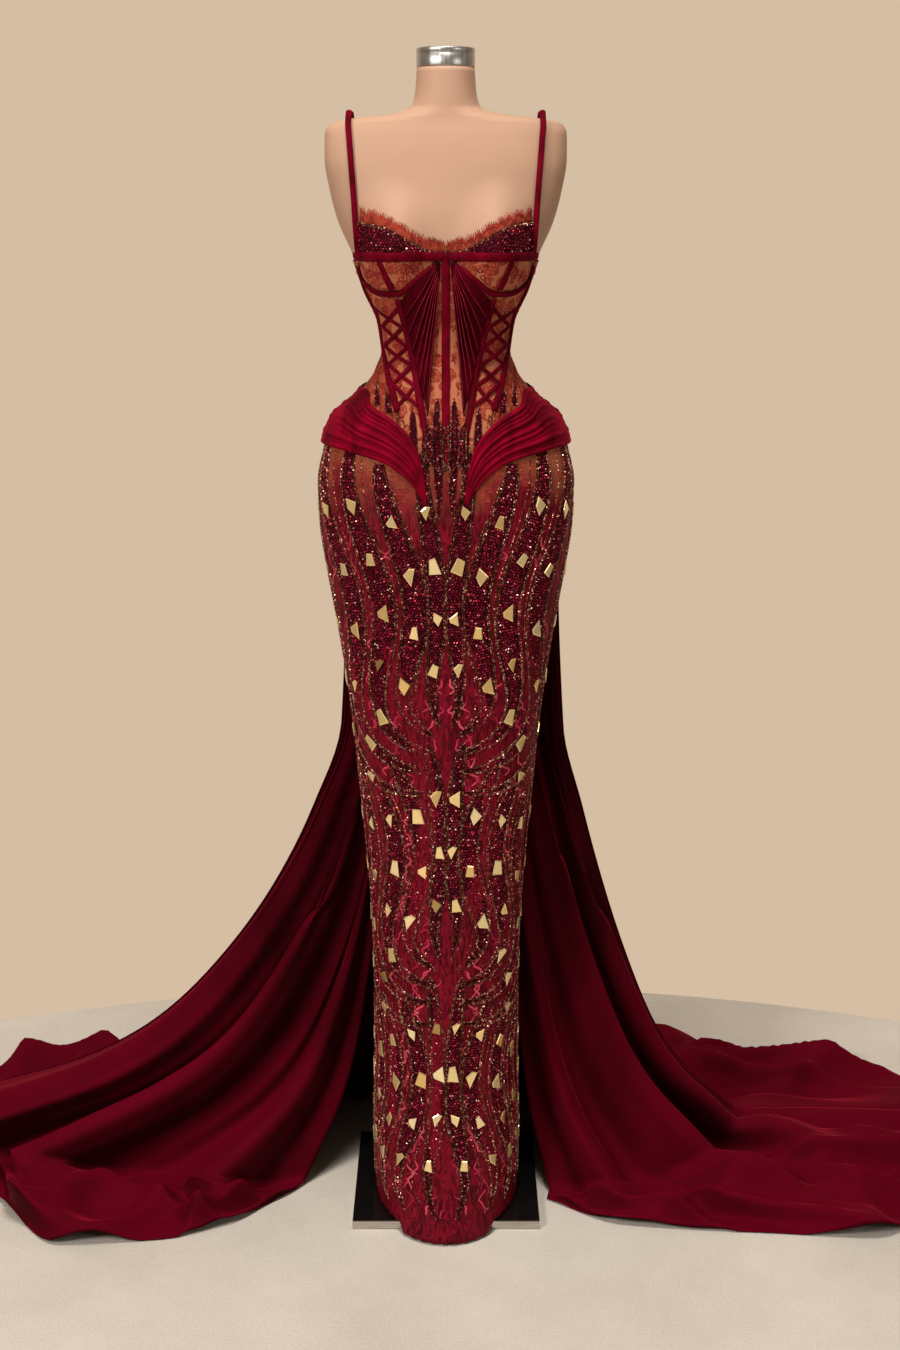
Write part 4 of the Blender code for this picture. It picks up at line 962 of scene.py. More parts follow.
def skirt(name, node, first, last, columns):
    theta = np.linspace(first, last, columns + 1)
    heights = np.concatenate([levels(0.0, 0.2, 0.008)[:-1], levels(0.2, SEAM_Z, 0.0125)])
    t, z = np.broadcast_arrays(theta[None, :], heights[:, None])
    points = surface(t, z, BASE_OFF)
    low = hem_height(points[0, :, 1]) + 0.0022 * (0.5 + 0.5 * np.sin(theta * 46))
    step = 6  # the lowest rows are drawn up to the scalloped hem
    for j in range(len(theta)):
        start = points[0, j].copy()
        lift = (points[step, j] - start) * (low[j] - start[2]) / (points[step, j, 2] - start[2])
        for i in range(step):
            points[i, j] += lift * (1 - i / step)
    soft = 0.0009 * np.sin(t * 9 + 3 * np.sin(z * 7)) * np.clip((1.1 - z) / 0.3, 0, 1) * np.clip(z / 0.1, 0, 1)
    points = points + normal_of(t, z) * soft[..., None]
    obj = cloth(name, points, SKIRT_WALL, "skirt", [node])
    cut(obj, points, "hung")


skirt("skirt_front_lace", "skirt_front", -math.pi / 2 + 0.002, math.pi / 2 - 0.002, 94)
skirt("skirt_back_lace", "skirt_back", math.pi / 2 + 0.002, 3 * math.pi / 2 - 0.002, 74)


# ---------------------------------------------------------------------------------------------------------- train
def fold_line(row, attach, falls, lies):
    it = dict(zip(TRAIN_COLUMNS, row))
    start = surface(math.radians(it["angle"]), ATTACH_Z, attach)
    touch, hem = np.array([it["touch_x"], it["touch_y"]]), np.array([it["hem_x"], it["hem_y"]])
    h = np.linspace(1, 0, 481)
    g = np.clip(read(FALL, 1, h), 0, 1) ** it["late"]
    inward = -start[:2] / np.linalg.norm(start[:2])
    plan = start[:2] + (touch - start[:2]) * g[:, None] + inward * (it["tuck"] * 4 * h * (1 - h))[:, None]
    fall = np.column_stack([plan, it["lay"] + (start[2] - it["lay"]) * h])
    w = np.linspace(0, 1, 61)[1:]
    lie = np.column_stack([touch + (hem - touch) * w[:, None], 0.0035 + (it["lay"] - 0.0035) * (1 - w**2)])
    hips = [np.array([np.interp(-z, -fall[:, 2], fall[:, i]) for i in range(3)]) for z in (ATTACH_Z, 1.192, 1.175, 1.158, 1.140, 1.120, 1.100, 1.075, 1.050)]
    below = fall[fall[:, 2] < 1.0]
    return np.vstack([hips, evenly(below, falls)]), evenly(np.vstack([fall[-1], lie]), lies)


def clear_of_skirt(grid, clearance):
    x, y, z = grid[..., 0], grid[..., 1], grid[..., 2]
    a, f, b, n = (read(FORM, i, z) for i in (1, 2, 3, 4))
    reach = clearance + 0.0008
    rho = ((np.abs(x) / (a + reach)) ** n + (np.abs(y) / (np.where(y < 0, f, b) + reach)) ** n) ** (1 / n)
    out = grid.copy()
    out[..., :2] /= np.minimum(rho, 1.0)[..., None]
    return out


def softened(field, times=50):
    """Each value drawn towards its neighbours."""
    field = field.copy()
    for _ in range(times):
        field[1:-1] = 0.25 * field[:-2] + 0.5 * field[1:-1] + 0.25 * field[2:]
        field[:, 1:-1] = 0.25 * field[:, :-2] + 0.5 * field[:, 1:-1] + 0.25 * field[:, 2:]
    return field


def pinch(x, sharp):
    """Ridges at whole numbers with broad valleys between them."""
    return (0.5 + 0.5 * np.cos(2 * math.pi * x)) ** sharp


def crest(x, sharp):
    """The same with a creased top, rounded as cloth is."""
    near = np.sqrt((x - np.round(x)) ** 2 + 0.0016) - 0.04
    return np.clip(1 - 2.15 * near, 0, 1) ** sharp


def gore(name, rows):
    attach = ATTACH_IN if name in ("train_left", "train_right") else ATTACH_OUT
    falls, lies, between = 54, 38, 17
    lines = np.array([np.vstack([a, b[1:]]) for a, b in (fold_line(row, attach, falls, lies) for row in rows)])
    at = np.arange(len(rows))
    want = np.linspace(0, len(rows) - 1, (len(rows) - 1) * between + 1)
    grid = np.stack([np.stack([curve(at, lines[:, k, i], want) for i in range(3)], axis=1) for k in range(lines.shape[1])], axis=0)
    # smaller folds between the big ones, none at the seams
    r = np.linspace(0, 1, grid.shape[0])[:, None]
    c = np.linspace(0, 1, grid.shape[1])[None, :]
    n = np.cross(np.gradient(grid, axis=1), np.gradient(grid, axis=0))
    n /= np.linalg.norm(n, axis=2, keepdims=True) + 1e-12
    n *= np.sign(n[-lies:, :, 2].mean())  # outwards, and up where it lies
    n = softened(n)
    n /= np.linalg.norm(n, axis=2, keepdims=True) + 1e-12
    span = softened(np.linalg.norm(np.gradient(grid, axis=1), axis=2) * between)  # from one row of the table to the next
    # the table's own ridges and valleys stand out further
    ridge = 0.5 + 0.5 * np.interp(want, at, [1.0 if row[5] > 0.012 else -1.0 for row in rows])[None, :]
    deep = (0.5 - 0.5 * np.cos(math.pi * ridge)) ** 1.5 - 0.42
    # long pinched folds that fall from the seam, then buckles that cross them where the cloth lies on the floor
    on_floor = np.clip((r - 0.60) / 0.16, 0, 1)
    falls_ = 0.5 * pinch(5.2 * c + 0.30 * np.sin(2.6 * r + 1.0), 1.6) + 0.6 * crest(5.2 * c + 0.30 * np.sin(2.6 * r + 1.0), 1.8) + 0.60 * pinch(8.6 * c - 0.5 * r * r + 0.35, 2.2) - 0.45
    swell = 0.75 + 0.25 * np.sin(9.0 * c + 2.0)
    buckles = crest(4.3 * c + 3.1 * r + 0.16 * np.sin(7 * c), 1.9) * 1.20 + crest(-5.7 * c + 4.3 * r + 0.3 + 0.10 * np.sin(13 * c), 2.1) * 1.00 - 0.42
    wave = falls_ * swell * (1 - 0.45 * on_floor) + buckles * on_floor
    edge = np.minimum(1, 6 * c * (1 - c))
    grow = (0.0205 + 0.0095 * on_floor) * np.clip((r - 0.10) / 0.38, 0, 1) * (1 - 0.60 * np.clip((r - 0.90) / 0.10, 0, 1))
    grow = np.minimum(grow, 0.25 * span) * edge
    depth = 0.040 * np.clip((r - 0.06) / 0.34, 0, 1) * (1 - 0.55 * np.clip((r - 0.62) / 0.18, 0, 1)) * (1 - 0.5 * np.clip((r - 0.9) / 0.1, 0, 1))
    depth = np.minimum(depth, 0.40 * span) * edge
    grid = grid + n * (wave * grow + deep * depth)[..., None]
    grid[..., 2] = np.maximum(grid[..., 2], 0.0030)
    grid = clear_of_skirt(grid, attach)
    grid = grid[::-1]
    if name in ("train_back_left", "train_right"):
        grid = grid[:, ::-1]
    obj = cloth(name.replace("train", "velvet_train"), grid, VELVET_WALL, "train", [name])
    cut(obj, grid, "draped")


for name, rows in TRAIN.items():
    gore(name, rows)


# ------------------------------------------------------------------------------------- what hides small work, by place
def drape_edges(theta):
    deg = np.degrees(np.abs(theta))
    t = np.linspace(0, 1, 80)
    up_a, up_z, lo_a, lo_z = (read(DRAPE_FRONT, i, t) for i in (1, 2, 3, 4))
    top = np.interp(deg, up_a[::-1], up_z[::-1])
    bottom = np.interp(deg, lo_a[::-1], lo_z[::-1])
    tb = np.linspace(0, 1, 40)
    top = np.where(deg > 90, np.interp(deg, read(DRAPE_BACK, 1, tb), read(DRAPE_BACK, 2, tb)), top)
    bottom = np.where(deg > 90, np.interp(deg, read(DRAPE_BACK, 3, tb), read(DRAPE_BACK, 4, tb)), bottom)
    return np.where(deg < 8.0, -1.0, bottom), np.where(deg < 8.0, -1.0, top)


def bare(theta, z, margin=0.003):
    """True where nothing of velvet lies on the lace: no drape, band, busk or fan; the lacing is left out of this test.
    """
    x = np.abs(figure(theta, z)[..., 0])
    low_z, high_z = drape_edges(theta)
    free = ~((z > low_z - margin) & (z < high_z + margin))
    free &= ~((x < BUSK_WIDTH / 2 + margin) & (z > 1.19))
    front = np.cos(theta) > 0
    near_p = (np.abs(x - read(PRINCESS, 1, z)) < BAND_WIDTH / 2 + margin) & (z > 1.195) & (z < 1.42) & front
    near_s = (np.abs(x - read(SIDE_BONE, 1, z)) < BAND_WIDTH / 2 + margin) & (z > 1.25) & front
    t = np.linspace(0, 1, 60)
    outer = np.interp(z, read(FAN, 4, t)[::-1], read(FAN, 3, t)[::-1])
    outer = np.where(z > 1.412, np.interp(z, [1.412, 1.448], [0.059, 0.018]), outer)
    inner = np.interp(z, [1.248, 1.440], [0.0228, 0.0080])
    in_fan = (x > inner - margin) & (x < outer + margin) & (z > 1.246) & (z < 1.452) & front
    laced = (x > read(PRINCESS, 1, z)) & (x < read(SIDE_BONE, 1, z)) & (z > 1.256) & (z < 1.402) & front
    wire = (np.abs(z - read(UNDERWIRE, 1, np.clip(x, 0.017, 0.121))) < 0.0035 + margin) & (x < 0.122) & (z > 1.40) & front
    strip = (np.abs(x - read(CUP_STRIP, 1, z)) < BAND_WIDTH / 2 + margin) & (z > 1.42) & (z < BUST_LINE) & front
    across = (np.abs(z - BUST_LINE) < TOP_BAND_WIDTH / 2 + margin) & front
    return free & ~near_p & ~near_s & ~in_fan & ~(laced & False) & ~wire & ~strip & ~across


# --------------------------------------------------------------------------------------------- beadwork on the skirt
# Fronds of half the front, mirrored on the other half and again on the back. Each is a leaf along a smooth line from its
# root to its tip: girth from the middle as a share of a quarter girth, height, how far the line is bent at its two
# ends, half width, and how many tiles lie on it.
FROND_COLUMNS = "root_s root_z bend_s bend_z turn_s turn_z tip_s tip_z half tiles".split()
FRONDS = [
    (0.03, 0.800, 0.18, 0.890, 0.01, 1.030, 0.115, 1.200, 0.0148, 4),
    (0.06, 0.785, 0.52, 0.855, 0.08, 1.010, 0.345, 1.190, 0.0195, 4),
    (0.07, 0.760, 0.80, 0.805, 0.28, 0.985, 0.580, 1.215, 0.0200, 5),
    (0.08, 0.732, 1.06, 0.745, 0.52, 0.960, 0.805, 1.215, 0.0200, 5),
    (0.09, 0.700, 1.20, 0.670, 0.84, 0.910, 0.990, 1.210, 0.0160, 6),
    (0.03, 0.440, 0.18, 0.520, 0.01, 0.640, 0.090, 0.775, 0.0138, 3),
    (0.06, 0.425, 0.54, 0.480, 0.10, 0.610, 0.335, 0.740, 0.0175, 3),
    (0.07, 0.400, 0.86, 0.430, 0.34, 0.590, 0.575, 0.722, 0.0180, 4),
    (0.08, 0.372, 1.10, 0.370, 0.64, 0.580, 0.800, 0.722, 0.0175, 4),
    (0.09, 0.340, 1.16, 0.300, 0.98, 0.520, 0.985, 0.730, 0.0135, 5),
    (0.05, 0.040, 0.22, 0.130, 0.01, 0.250, 0.090, 0.412, 0.0135, 4),
    (0.24, 0.040, 0.56, 0.120, 0.14, 0.240, 0.330, 0.392, 0.0165, 4),
    (0.46, 0.040, 0.82, 0.110, 0.40, 0.230, 0.565, 0.366, 0.0165, 4),
    (0.68, 0.040, 1.02, 0.110, 0.68, 0.220, 0.795, 0.345, 0.0160, 3),
    (0.92, 0.040, 1.08, 0.130, 0.94, 0.230, 0.985, 0.335, 0.0125, 4),
]
# Slim beaded lines between the fronds, in the same columns without a width.
VEINS = [
    (0.11, 0.800, 0.32, 0.890, 0.05, 1.020, 0.230, 1.150),
    (0.20, 0.775, 0.64, 0.840, 0.20, 1.000, 0.460, 1.190),
    (0.26, 0.750, 0.90, 0.785, 0.42, 0.975, 0.690, 1.205),
    (0.11, 0.445, 0.34, 0.510, 0.06, 0.620, 0.215, 0.715),
    (0.22, 0.425, 0.68, 0.460, 0.24, 0.600, 0.455, 0.705),
    (0.28, 0.400, 0.96, 0.410, 0.52, 0.585, 0.685, 0.705),
    (0.14, 0.060, 0.38, 0.130, 0.08, 0.240, 0.210, 0.375),
    (0.36, 0.060, 0.68, 0.120, 0.28, 0.230, 0.445, 0.360),
    (0.58, 0.060, 0.90, 0.115, 0.54, 0.225, 0.680, 0.340),
]
BEAD_STEP, BEAD_WIDE, BEAD_HIGH = 0.0041, 0.0034, 0.0015
EDGE_STEP, EDGE_WIDE, EDGE_HIGH = 0.0026, 0.0026, 0.0017


def bezier(p, count=160):
    t = np.linspace(0, 1, count)[:, None]
    p = [np.array(q) for q in p]
    return (1 - t) ** 3 * p[0] + 3 * (1 - t) ** 2 * t * p[1] + 3 * (1 - t) * t**2 * p[2] + t**3 * p[3]


def unrolled(line):
    """Share of a quarter girth and height, to girth and height in metres."""
    out = line.copy()
    out[:, 0] = line[:, 0] * half_girth(line[:, 1]) / 2
    return out


def swayed(line):
    """The same soft sway for all, none at the middle and at the side seam."""
    out = line.copy()
    room = np.clip(line[:, 0] / 0.045, 0, 1) * np.clip((half_girth(line[:, 1]) / 2 - line[:, 0]) / 0.03, 0, 1)
    out[:, 0] = line[:, 0] + 0.0190 * np.sin(2 * math.pi * line[:, 1] / 0.37 + 0.9) * room
    return out


def leaf(line, half, blunt=0.32):
    """The half width along a leaf: a narrow root, widest past its middle, a drawn-out tip."""
    run = np.concatenate([[0], np.cumsum(np.linalg.norm(np.diff(line, axis=0), axis=1))])
    u = run / run[-1]
    return half * np.sin(math.pi * u**0.85) ** blunt * (0.40 + 0.60 * np.clip(u * 2.6, 0, 1)), run


def across_of(line):
    d = np.gradient(line, axis=0)
    d /= np.linalg.norm(d, axis=1, keepdims=True) + 1e-12
    return np.column_stack([-d[:, 1], d[:, 0]])


class Taken:
    """Where beads already are, so that none is set twice."""

    def __init__(self, cell):
        self.cell, self.used = cell, set()

    def free(self, points):
        keep = np.zeros(len(points), bool)
        for i, key in enumerate(map(tuple, np.round(points / self.cell).astype(int))):
            if key not in self.used:
                self.used.add(key)
                keep[i] = True
        return keep


ground, copper, wine = Pile(), {"front": Pile(), "back": Pile()}, {"front_left": Pile(), "front_right": Pile(), "sides": Pile()}
tiles = Pile()
LAY = BASE_OFF + SKIRT_WALL


def place_beads(pile, s, z, off, wide, high, clear=True, limit=math.radians(178)):
    theta = theta_of(s, z)
    keep = np.abs(theta) < limit
    if clear:
        keep &= bare(theta, z)
    theta, z = theta[keep], z[keep]
    if len(theta):
        pile.beads(surface(theta, z, off), normal_of(theta, z), wide, high)


TILE_SHAPES = [  # four corners each, in shares of its length and width
    ((-0.50, -0.42), (0.34, -0.50), (0.50, 0.10), (-0.30, 0.50)),
    ((-0.50, -0.10), (0.16, -0.50), (0.50, 0.36), (-0.06, 0.40)),
    ((-0.44, -0.50), (0.50, -0.16), (0.42, 0.30), (-0.40, 0.44)),
    ((-0.50, 0.10), (0.42, -0.50), (0.50, -0.06), (0.20, 0.50)),
    ((-0.50, -0.44), (0.50, -0.30), (0.06, 0.50), (-0.22, 0.40)),
]


def tile(s, z, along, long, wide, off):
    """One flat mirror tile with four uneven sides and bevelled edges, lying on the cloth."""
    theta = theta_of(np.array([s]), np.array([z]))
    if not bare(theta, np.array([z]), 0.006)[0]:
        return
    c, n = surface(theta, np.array([z]), off)[0], normal_of(theta, np.array([z]))[0]
    ahead = surface(theta_of(np.array([s + along[0] * 0.004]), np.array([z + along[1] * 0.004])), np.array([z + along[1] * 0.004]), off)[0] - c
    u = ahead - n * (ahead @ n)
    u /= np.linalg.norm(u)
    tilt = RNG.normal(0, 0.035, 2)
    v = np.cross(n, u)
    n = n + u * tilt[0] + v * tilt[1]
    n /= np.linalg.norm(n)
    u = u - n * (u @ n)
    u /= np.linalg.norm(u)
    v = np.cross(n, u)
    shape = np.array(TILE_SHAPES[len(tiles.verts) % len(TILE_SHAPES)]) * np.array([long, wide])
    low_ = [c + u * a + v * b for a, b in shape]
    mid_ = [c + u * a + v * b + n * 0.0012 for a, b in shape]
    top_ = [c + u * a * 0.84 + v * b * 0.84 + n * 0.0017 for a, b in shape]
    faces = [(0, 2, 1), (0, 3, 2)]
    for k in range(4):
        m = (k + 1) % 4
        faces += [(k, m, 4 + m), (k, 4 + m, 4 + k), (4 + k, 4 + m, 8 + m), (4 + k, 8 + m, 8 + k)]
    faces += [(8, 9, 10), (8, 10, 11)]
    tiles.extend(np.array(low_ + mid_ + top_), np.array(faces))


def fold_over(line, side, back):
    """A line of half the front, put on one of the four quarters."""
    out = line.copy()
    if back:
        out[:, 0] = half_girth(out[:, 1]) - out[:, 0]
    out[:, 0] *= side
    return out


def sew_frond(centre, half, count, side, back, taken, off=LAY, tile_size=(0.0265, 0.0190), rows=2, clear=True):
    width, run = leaf(centre, half)
    normal = across_of(centre)
    # the sewn ground
    m = max(8, int(run[-1] / 0.009))
    want = np.linspace(0.0, run[-1], m)
    mid = np.stack([np.interp(want, run, centre[:, i]) for i in range(2)], axis=1)
    nrm = np.stack([np.interp(want, run, normal[:, i]) for i in range(2)], axis=1)
    w = np.interp(want, run, width)
    u = np.linspace(-1, 1, 5)
    flat = mid[:, None, :] + nrm[:, None, :] * (w[:, None] * u[None, :])[..., None]
    flat = fold_over(flat.reshape(-1, 2), side, back).reshape(flat.shape)
    theta, z = theta_of(flat[..., 0], flat[..., 1]), flat[..., 1]
    free = bare(theta, z, -0.004).all(axis=1) if clear else np.ones(len(theta), bool)
    # only the stretch that nothing lies on
    index = np.flatnonzero(free)
    if len(index) > 3:
        a, b = index[0], index[-1] + 1
        low_ = surface(theta[a:b], z[a:b], off + 0.00005)
        top_ = surface(theta[a:b], z[a:b], off + 0.0006 - 0.0004 * np.abs(u)[None, :] ** 4)
        n_rows, n_cols = top_.shape[:2]
        quads = grid_faces(n_rows, n_cols)
        ab = n_rows * n_cols
        faces = [quads, quads[:, ::-1] + ab]
        rim = np.concatenate([np.arange(n_cols), np.arange(1, n_rows) * n_cols + n_cols - 1, (n_rows - 1) * n_cols + np.arange(n_cols - 2, -1, -1), np.arange(n_rows - 2, 0, -1) * n_cols])
        nxt = np.roll(rim, -1)
        faces.append(np.stack([rim, rim + ab, nxt + ab, nxt], -1))
        f = np.concatenate(faces)
        tri = np.concatenate([f[:, [0, 1, 2]], f[:, [0, 2, 3]]])
        if (side < 0) != back:
            tri = tri[:, ::-1]
        ground.extend(np.concatenate([top_.reshape(-1, 3), low_.reshape(-1, 3)]), tri)
    # the edge rows of copper beads
    for way in (-1, 1):
        for k in range(1 if back else rows):
            edge = mid + nrm * (way * (w - 0.0004 - 0.0025 * k))[:, None]
            if k and (w < 0.004).any():
                edge = edge[w > 0.0045]
            if len(edge) < 3:
                continue
            path = resampled(edge, EDGE_STEP)
            if k:
                path = (path[:-1] + path[1:]) / 2
            path = fold_over(path, side, back)
            place_beads(copper["back" if back else "front"], path[:, 0], path[:, 1], off + 0.0006, EDGE_WIDE, EDGE_HIGH, clear, limit=math.radians(152))
    # tiles along the middle, then beads round them
    spots = []
    for k in range(count):
        share = (k + 0.8) / (count + 0.5) * 0.86 + 0.06
        at = share * run[-1]
        p = np.array([np.interp(at, run, centre[:, i]) for i in range(2)])
        q = np.array([np.interp(at + 0.003, run, centre[:, i]) for i in range(2)])
        wide = float(np.interp(at, run, width))
        size = min(1.0, wide / 0.0125) * (0.78 if k % 2 else 1.0)
        if wide < 0.006:
            continue
        pq = fold_over(np.array([p, q]), side, back)
        d = pq[1] - pq[0]
        d /= np.linalg.norm(d)
        tile(pq[0, 0], pq[0, 1], d, tile_size[0] * size, tile_size[1] * size, off + 0.0012)
        spots.append((p, size))
    steps = int(run[-1] / BEAD_STEP)
    points = []
    for i in range(1, steps):
        at = i * run[-1] / steps
        c = np.array([np.interp(at, run, centre[:, 0]), np.interp(at, run, centre[:, 1])])
        nn = np.array([np.interp(at, run, normal[:, 0]), np.interp(at, run, normal[:, 1])])
        room = float(np.interp(at, run, width)) - (0.0062 if rows > 1 else 0.0030)
        if room < 0:
            continue
        k = int(room / BEAD_STEP + 0.5)
        shift = 0.5 if i % 2 else 0.0
        for j in range(-k, k + 1):
            v = (j + shift) * BEAD_STEP
            if abs(v) <= room + 0.0008:
                points.append(c + nn * v)
    if not points:
        return
    points = np.array(points) + RNG.normal(0, 0.00035, (len(points), 2))
    for p, size in spots:
        points = points[np.linalg.norm(points - p, axis=1) > 0.0098 * size]
    points = fold_over(points, side, back)
    points = points[taken.free(points)]
    pile = wine["sides"] if back else wine["front_left" if side < 0 else "front_right"]
    place_beads(pile, points[:, 0], points[:, 1], off + 0.0005, BEAD_WIDE, BEAD_HIGH, clear, limit=math.radians(150))


TAKEN = Taken(0.0031)
for row in FRONDS:
    it = dict(zip(FROND_COLUMNS, row))
    centre = swayed(unrolled(bezier([(it["root_s"], it["root_z"]), (it["bend_s"], it["bend_z"]), (it["turn_s"], it["turn_z"]), (it["tip_s"], it["tip_z"])])))
    for side in (-1, 1):
        for back in (False, True):
            sew_frond(centre, it["half"], it["tiles"], side, back, TAKEN)
for row in VEINS:
    centre = swayed(unrolled(bezier([row[0:2], row[2:4], row[4:6], row[6:8]])))
    for side in (-1, 1):
        for back in (False, True):
            path = fold_over(resampled(centre, EDGE_STEP), side, back)
            place_beads(copper["back" if back else "front"], path[:, 0], path[:, 1], LAY, EDGE_WIDE, EDGE_HIGH, limit=math.radians(152))

# Slim sprays that climb from the skirt on to the lace of the bodice: girth and height at four points, half width.
SPRAYS = [
    (0.0120, 1.100, 0.0040, 1.150, 0.0170, 1.200, 0.0115, 1.272, 0.0060),
    (0.0200, 1.105, 0.0380, 1.140, 0.0240, 1.180, 0.0290, 1.238, 0.0064),
    (0.0260, 1.120, 0.0500, 1.150, 0.0420, 1.200, 0.0470, 1.258, 0.0062),
    (0.0380, 1.150, 0.0640, 1.175, 0.0560, 1.220, 0.0680, 1.262, 0.0058),
    (0.0560, 1.195, 0.0840, 1.215, 0.0760, 1.250, 0.0890, 1.282, 0.0056),
    (0.0760, 1.225, 0.1040, 1.240, 0.0980, 1.265, 0.1110, 1.292, 0.0050),
]
# Short sprays that lie over the ends of the busk and of the princess bands, in the same columns.
OVER_SPRAYS = [
    (-0.0060, 1.172, 0.0080, 1.186, -0.0040, 1.208, 0.0060, 1.238, 0.0056),
    (0.0080, 1.170, -0.0060, 1.184, 0.0060, 1.200, -0.0030, 1.222, 0.0052),
    (0.0110, 1.176, 0.0300, 1.190, 0.0180, 1.210, 0.0270, 1.240, 0.0056),
    (0.0330, 1.180, 0.0160, 1.192, 0.0300, 1.208, 0.0200, 1.228, 0.0050),
]
for row in SPRAYS:
    centre = bezier([row[0:2], row[2:4], row[4:6], row[6:8]], 60)
    for side in (-1, 1):
        sew_frond(centre, row[8], 0, side, False, TAKEN, rows=1)
for row in OVER_SPRAYS:
    centre = bezier([row[0:2], row[2:4], row[4:6], row[6:8]], 60)
    for side in (-1, 1):
        sew_frond(centre, row[8], 0, side, False, Taken(0.0029), off=BAND_OFF + BAND_WALL + 0.0004, rows=1, clear=False)

# A line of beads down each side seam and round the neckline.
for side in (-1, 1):
    z = levels(0.05, 1.185, EDGE_STEP)
    sway = 0.0035 * np.sin(z * 62)
    for k in (-1, 1):
        place_beads(copper["front"], side * (half_girth(z) / 2 + sway * k), z, LAY, EDGE_WIDE, EDGE_HIGH)
    x = np.linspace(0.004, 0.1235, 600)
    for drop, wide, high in ((0.0012, 0.0027, 0.0018), (0.0036, 0.0024, 0.0015)):
        zz = read(NECKLINE, 1, x) - drop
        line = surface(angle_of(side * x, zz), zz, BASE_OFF + 0.0016)
        run = np.concatenate([[0], np.cumsum(np.linalg.norm(np.diff(line, axis=0), axis=1))])
        xs = np.interp(np.arange(0.001, run[-1], 0.0026), run, x)
        zs = read(NECKLINE, 1, xs) - drop
        th = angle_of(side * xs, zs)
        copper["front"].beads(surface(th, zs, BASE_OFF + 0.0016), normal_of(th, zs), wide, high)
    # beads over the upper cup
    gx, gz = np.meshgrid(np.arange(0.004, 0.123, 0.0041), np.arange(BUST_LINE + 0.007, 1.515, 0.0038))
    gx = gx + 0.002 * (np.arange(gx.shape[0]) % 2)[:, None]
    gx, gz = gx.ravel() + RNG.normal(0, 0.0004, gx.size), gz.ravel() + RNG.normal(0, 0.0004, gx.size)
    keep = (gz < read(NECKLINE, 1, gx) - 0.0048) & (gx < 0.123) & (RNG.uniform(0, 1, gx.size) < 0.86)
    gx, gz = gx[keep], gz[keep]
    th = angle_of(side * gx, gz)
    wine["front_left" if side < 0 else "front_right"].beads(surface(th, gz, BASE_OFF + 0.0016), normal_of(th, gz), 0.0032, 0.0015)

ground.done("beaded_fronds", "ground", "beaded_lace", smooth=True)
for key, pile in copper.items():
    pile.done(f"edge_beads_{key}", "copper", "copper_beads")
for key, pile in wine.items():
    pile.done(f"wine_beads_{key}", "beads", "beads")
tiles.done("mirror_tiles", "gold", "gold_mirror")

# ------------------------------------------------------------------------------------------------------- lace cords
# Common lace flowers, leaves and tendrils, drawn as cords on the net: place, size and turn of each.
lace_cords, coral = Pile(), Pile()


def draw(pile, shape, s0, z0, size, turn, off, wide, high, flip=1, clear=0.0015):
    c, k = math.cos(turn), math.sin(turn)
    x = (shape[:, 0] * c - shape[:, 1] * k) * size * flip + s0
    z = (shape[:, 0] * k + shape[:, 1] * c) * size + z0
    theta = theta_of(x, z)
    ok = bare(theta, z, clear) & (z > 0.03) & (z < 1.465)
    # keep the runs that nothing hides
    start = None
    for i in range(len(ok) + 1):
        if i < len(ok) and ok[i]:
            start = i if start is None else start
        elif start is not None:
            if i - start > 3:
                t, zz = theta[start:i], z[start:i]
                pile.cord(surface(t, zz, off), normal_of(t, zz), wide, high)
            start = None


def petal(a, inner=0.25, outer=1.0, wide=0.34, count=13):
    t = np.linspace(0, 1, count)
    r = inner + (outer - inner) * np.sin(math.pi * t) ** 0.7
    w = wide * np.sin(2 * math.pi * t) * 0.9
    return np.column_stack([r * math.cos(a) - w * math.sin(a), r * math.sin(a) + w * math.cos(a)])


def flower(s0, z0, size, turn, side):
    for k in range(5):
        draw(lace_cords, petal(k * 2 * math.pi / 5), s0 * side, z0, size, turn, BASE_OFF + LACE_WALL, 0.0019, 0.0009, side)
        draw(lace_cords, petal(k * 2 * math.pi / 5, 0.2, 0.62, 0.14, 8), s0 * side, z0, size, turn, BASE_OFF + LACE_WALL, 0.0013, 0.0007, side)
    t = np.linspace(0, 2 * math.pi, 10)
    draw(lace_cords, np.column_stack([np.cos(t), np.sin(t)]) * 0.16, s0 * side, z0, size, turn, BASE_OFF + LACE_WALL, 0.0019, 0.0009, side)


def spray(s0, z0, size, turn, side):
    t = np.linspace(0, 1, 15)
    stem = np.column_stack([2.6 * t, 0.5 * np.sin(t * 3.4)])
    draw(lace_cords, stem, s0 * side, z0, size, turn, BASE_OFF + LACE_WALL, 0.0019, 0.0009, side)
    for k in range(6):
        at = 0.15 + 0.145 * k
        p = np.array([2.6 * at, 0.5 * math.sin(at * 3.4)])
        way = 1 if k % 2 else -1
        blade = petal(way * 1.0 + 0.25, 0.0, 0.72 - 0.06 * k, 0.16, 10) + p
        draw(lace_cords, blade, s0 * side, z0, size, turn, BASE_OFF + LACE_WALL, 0.0016, 0.0008, side)


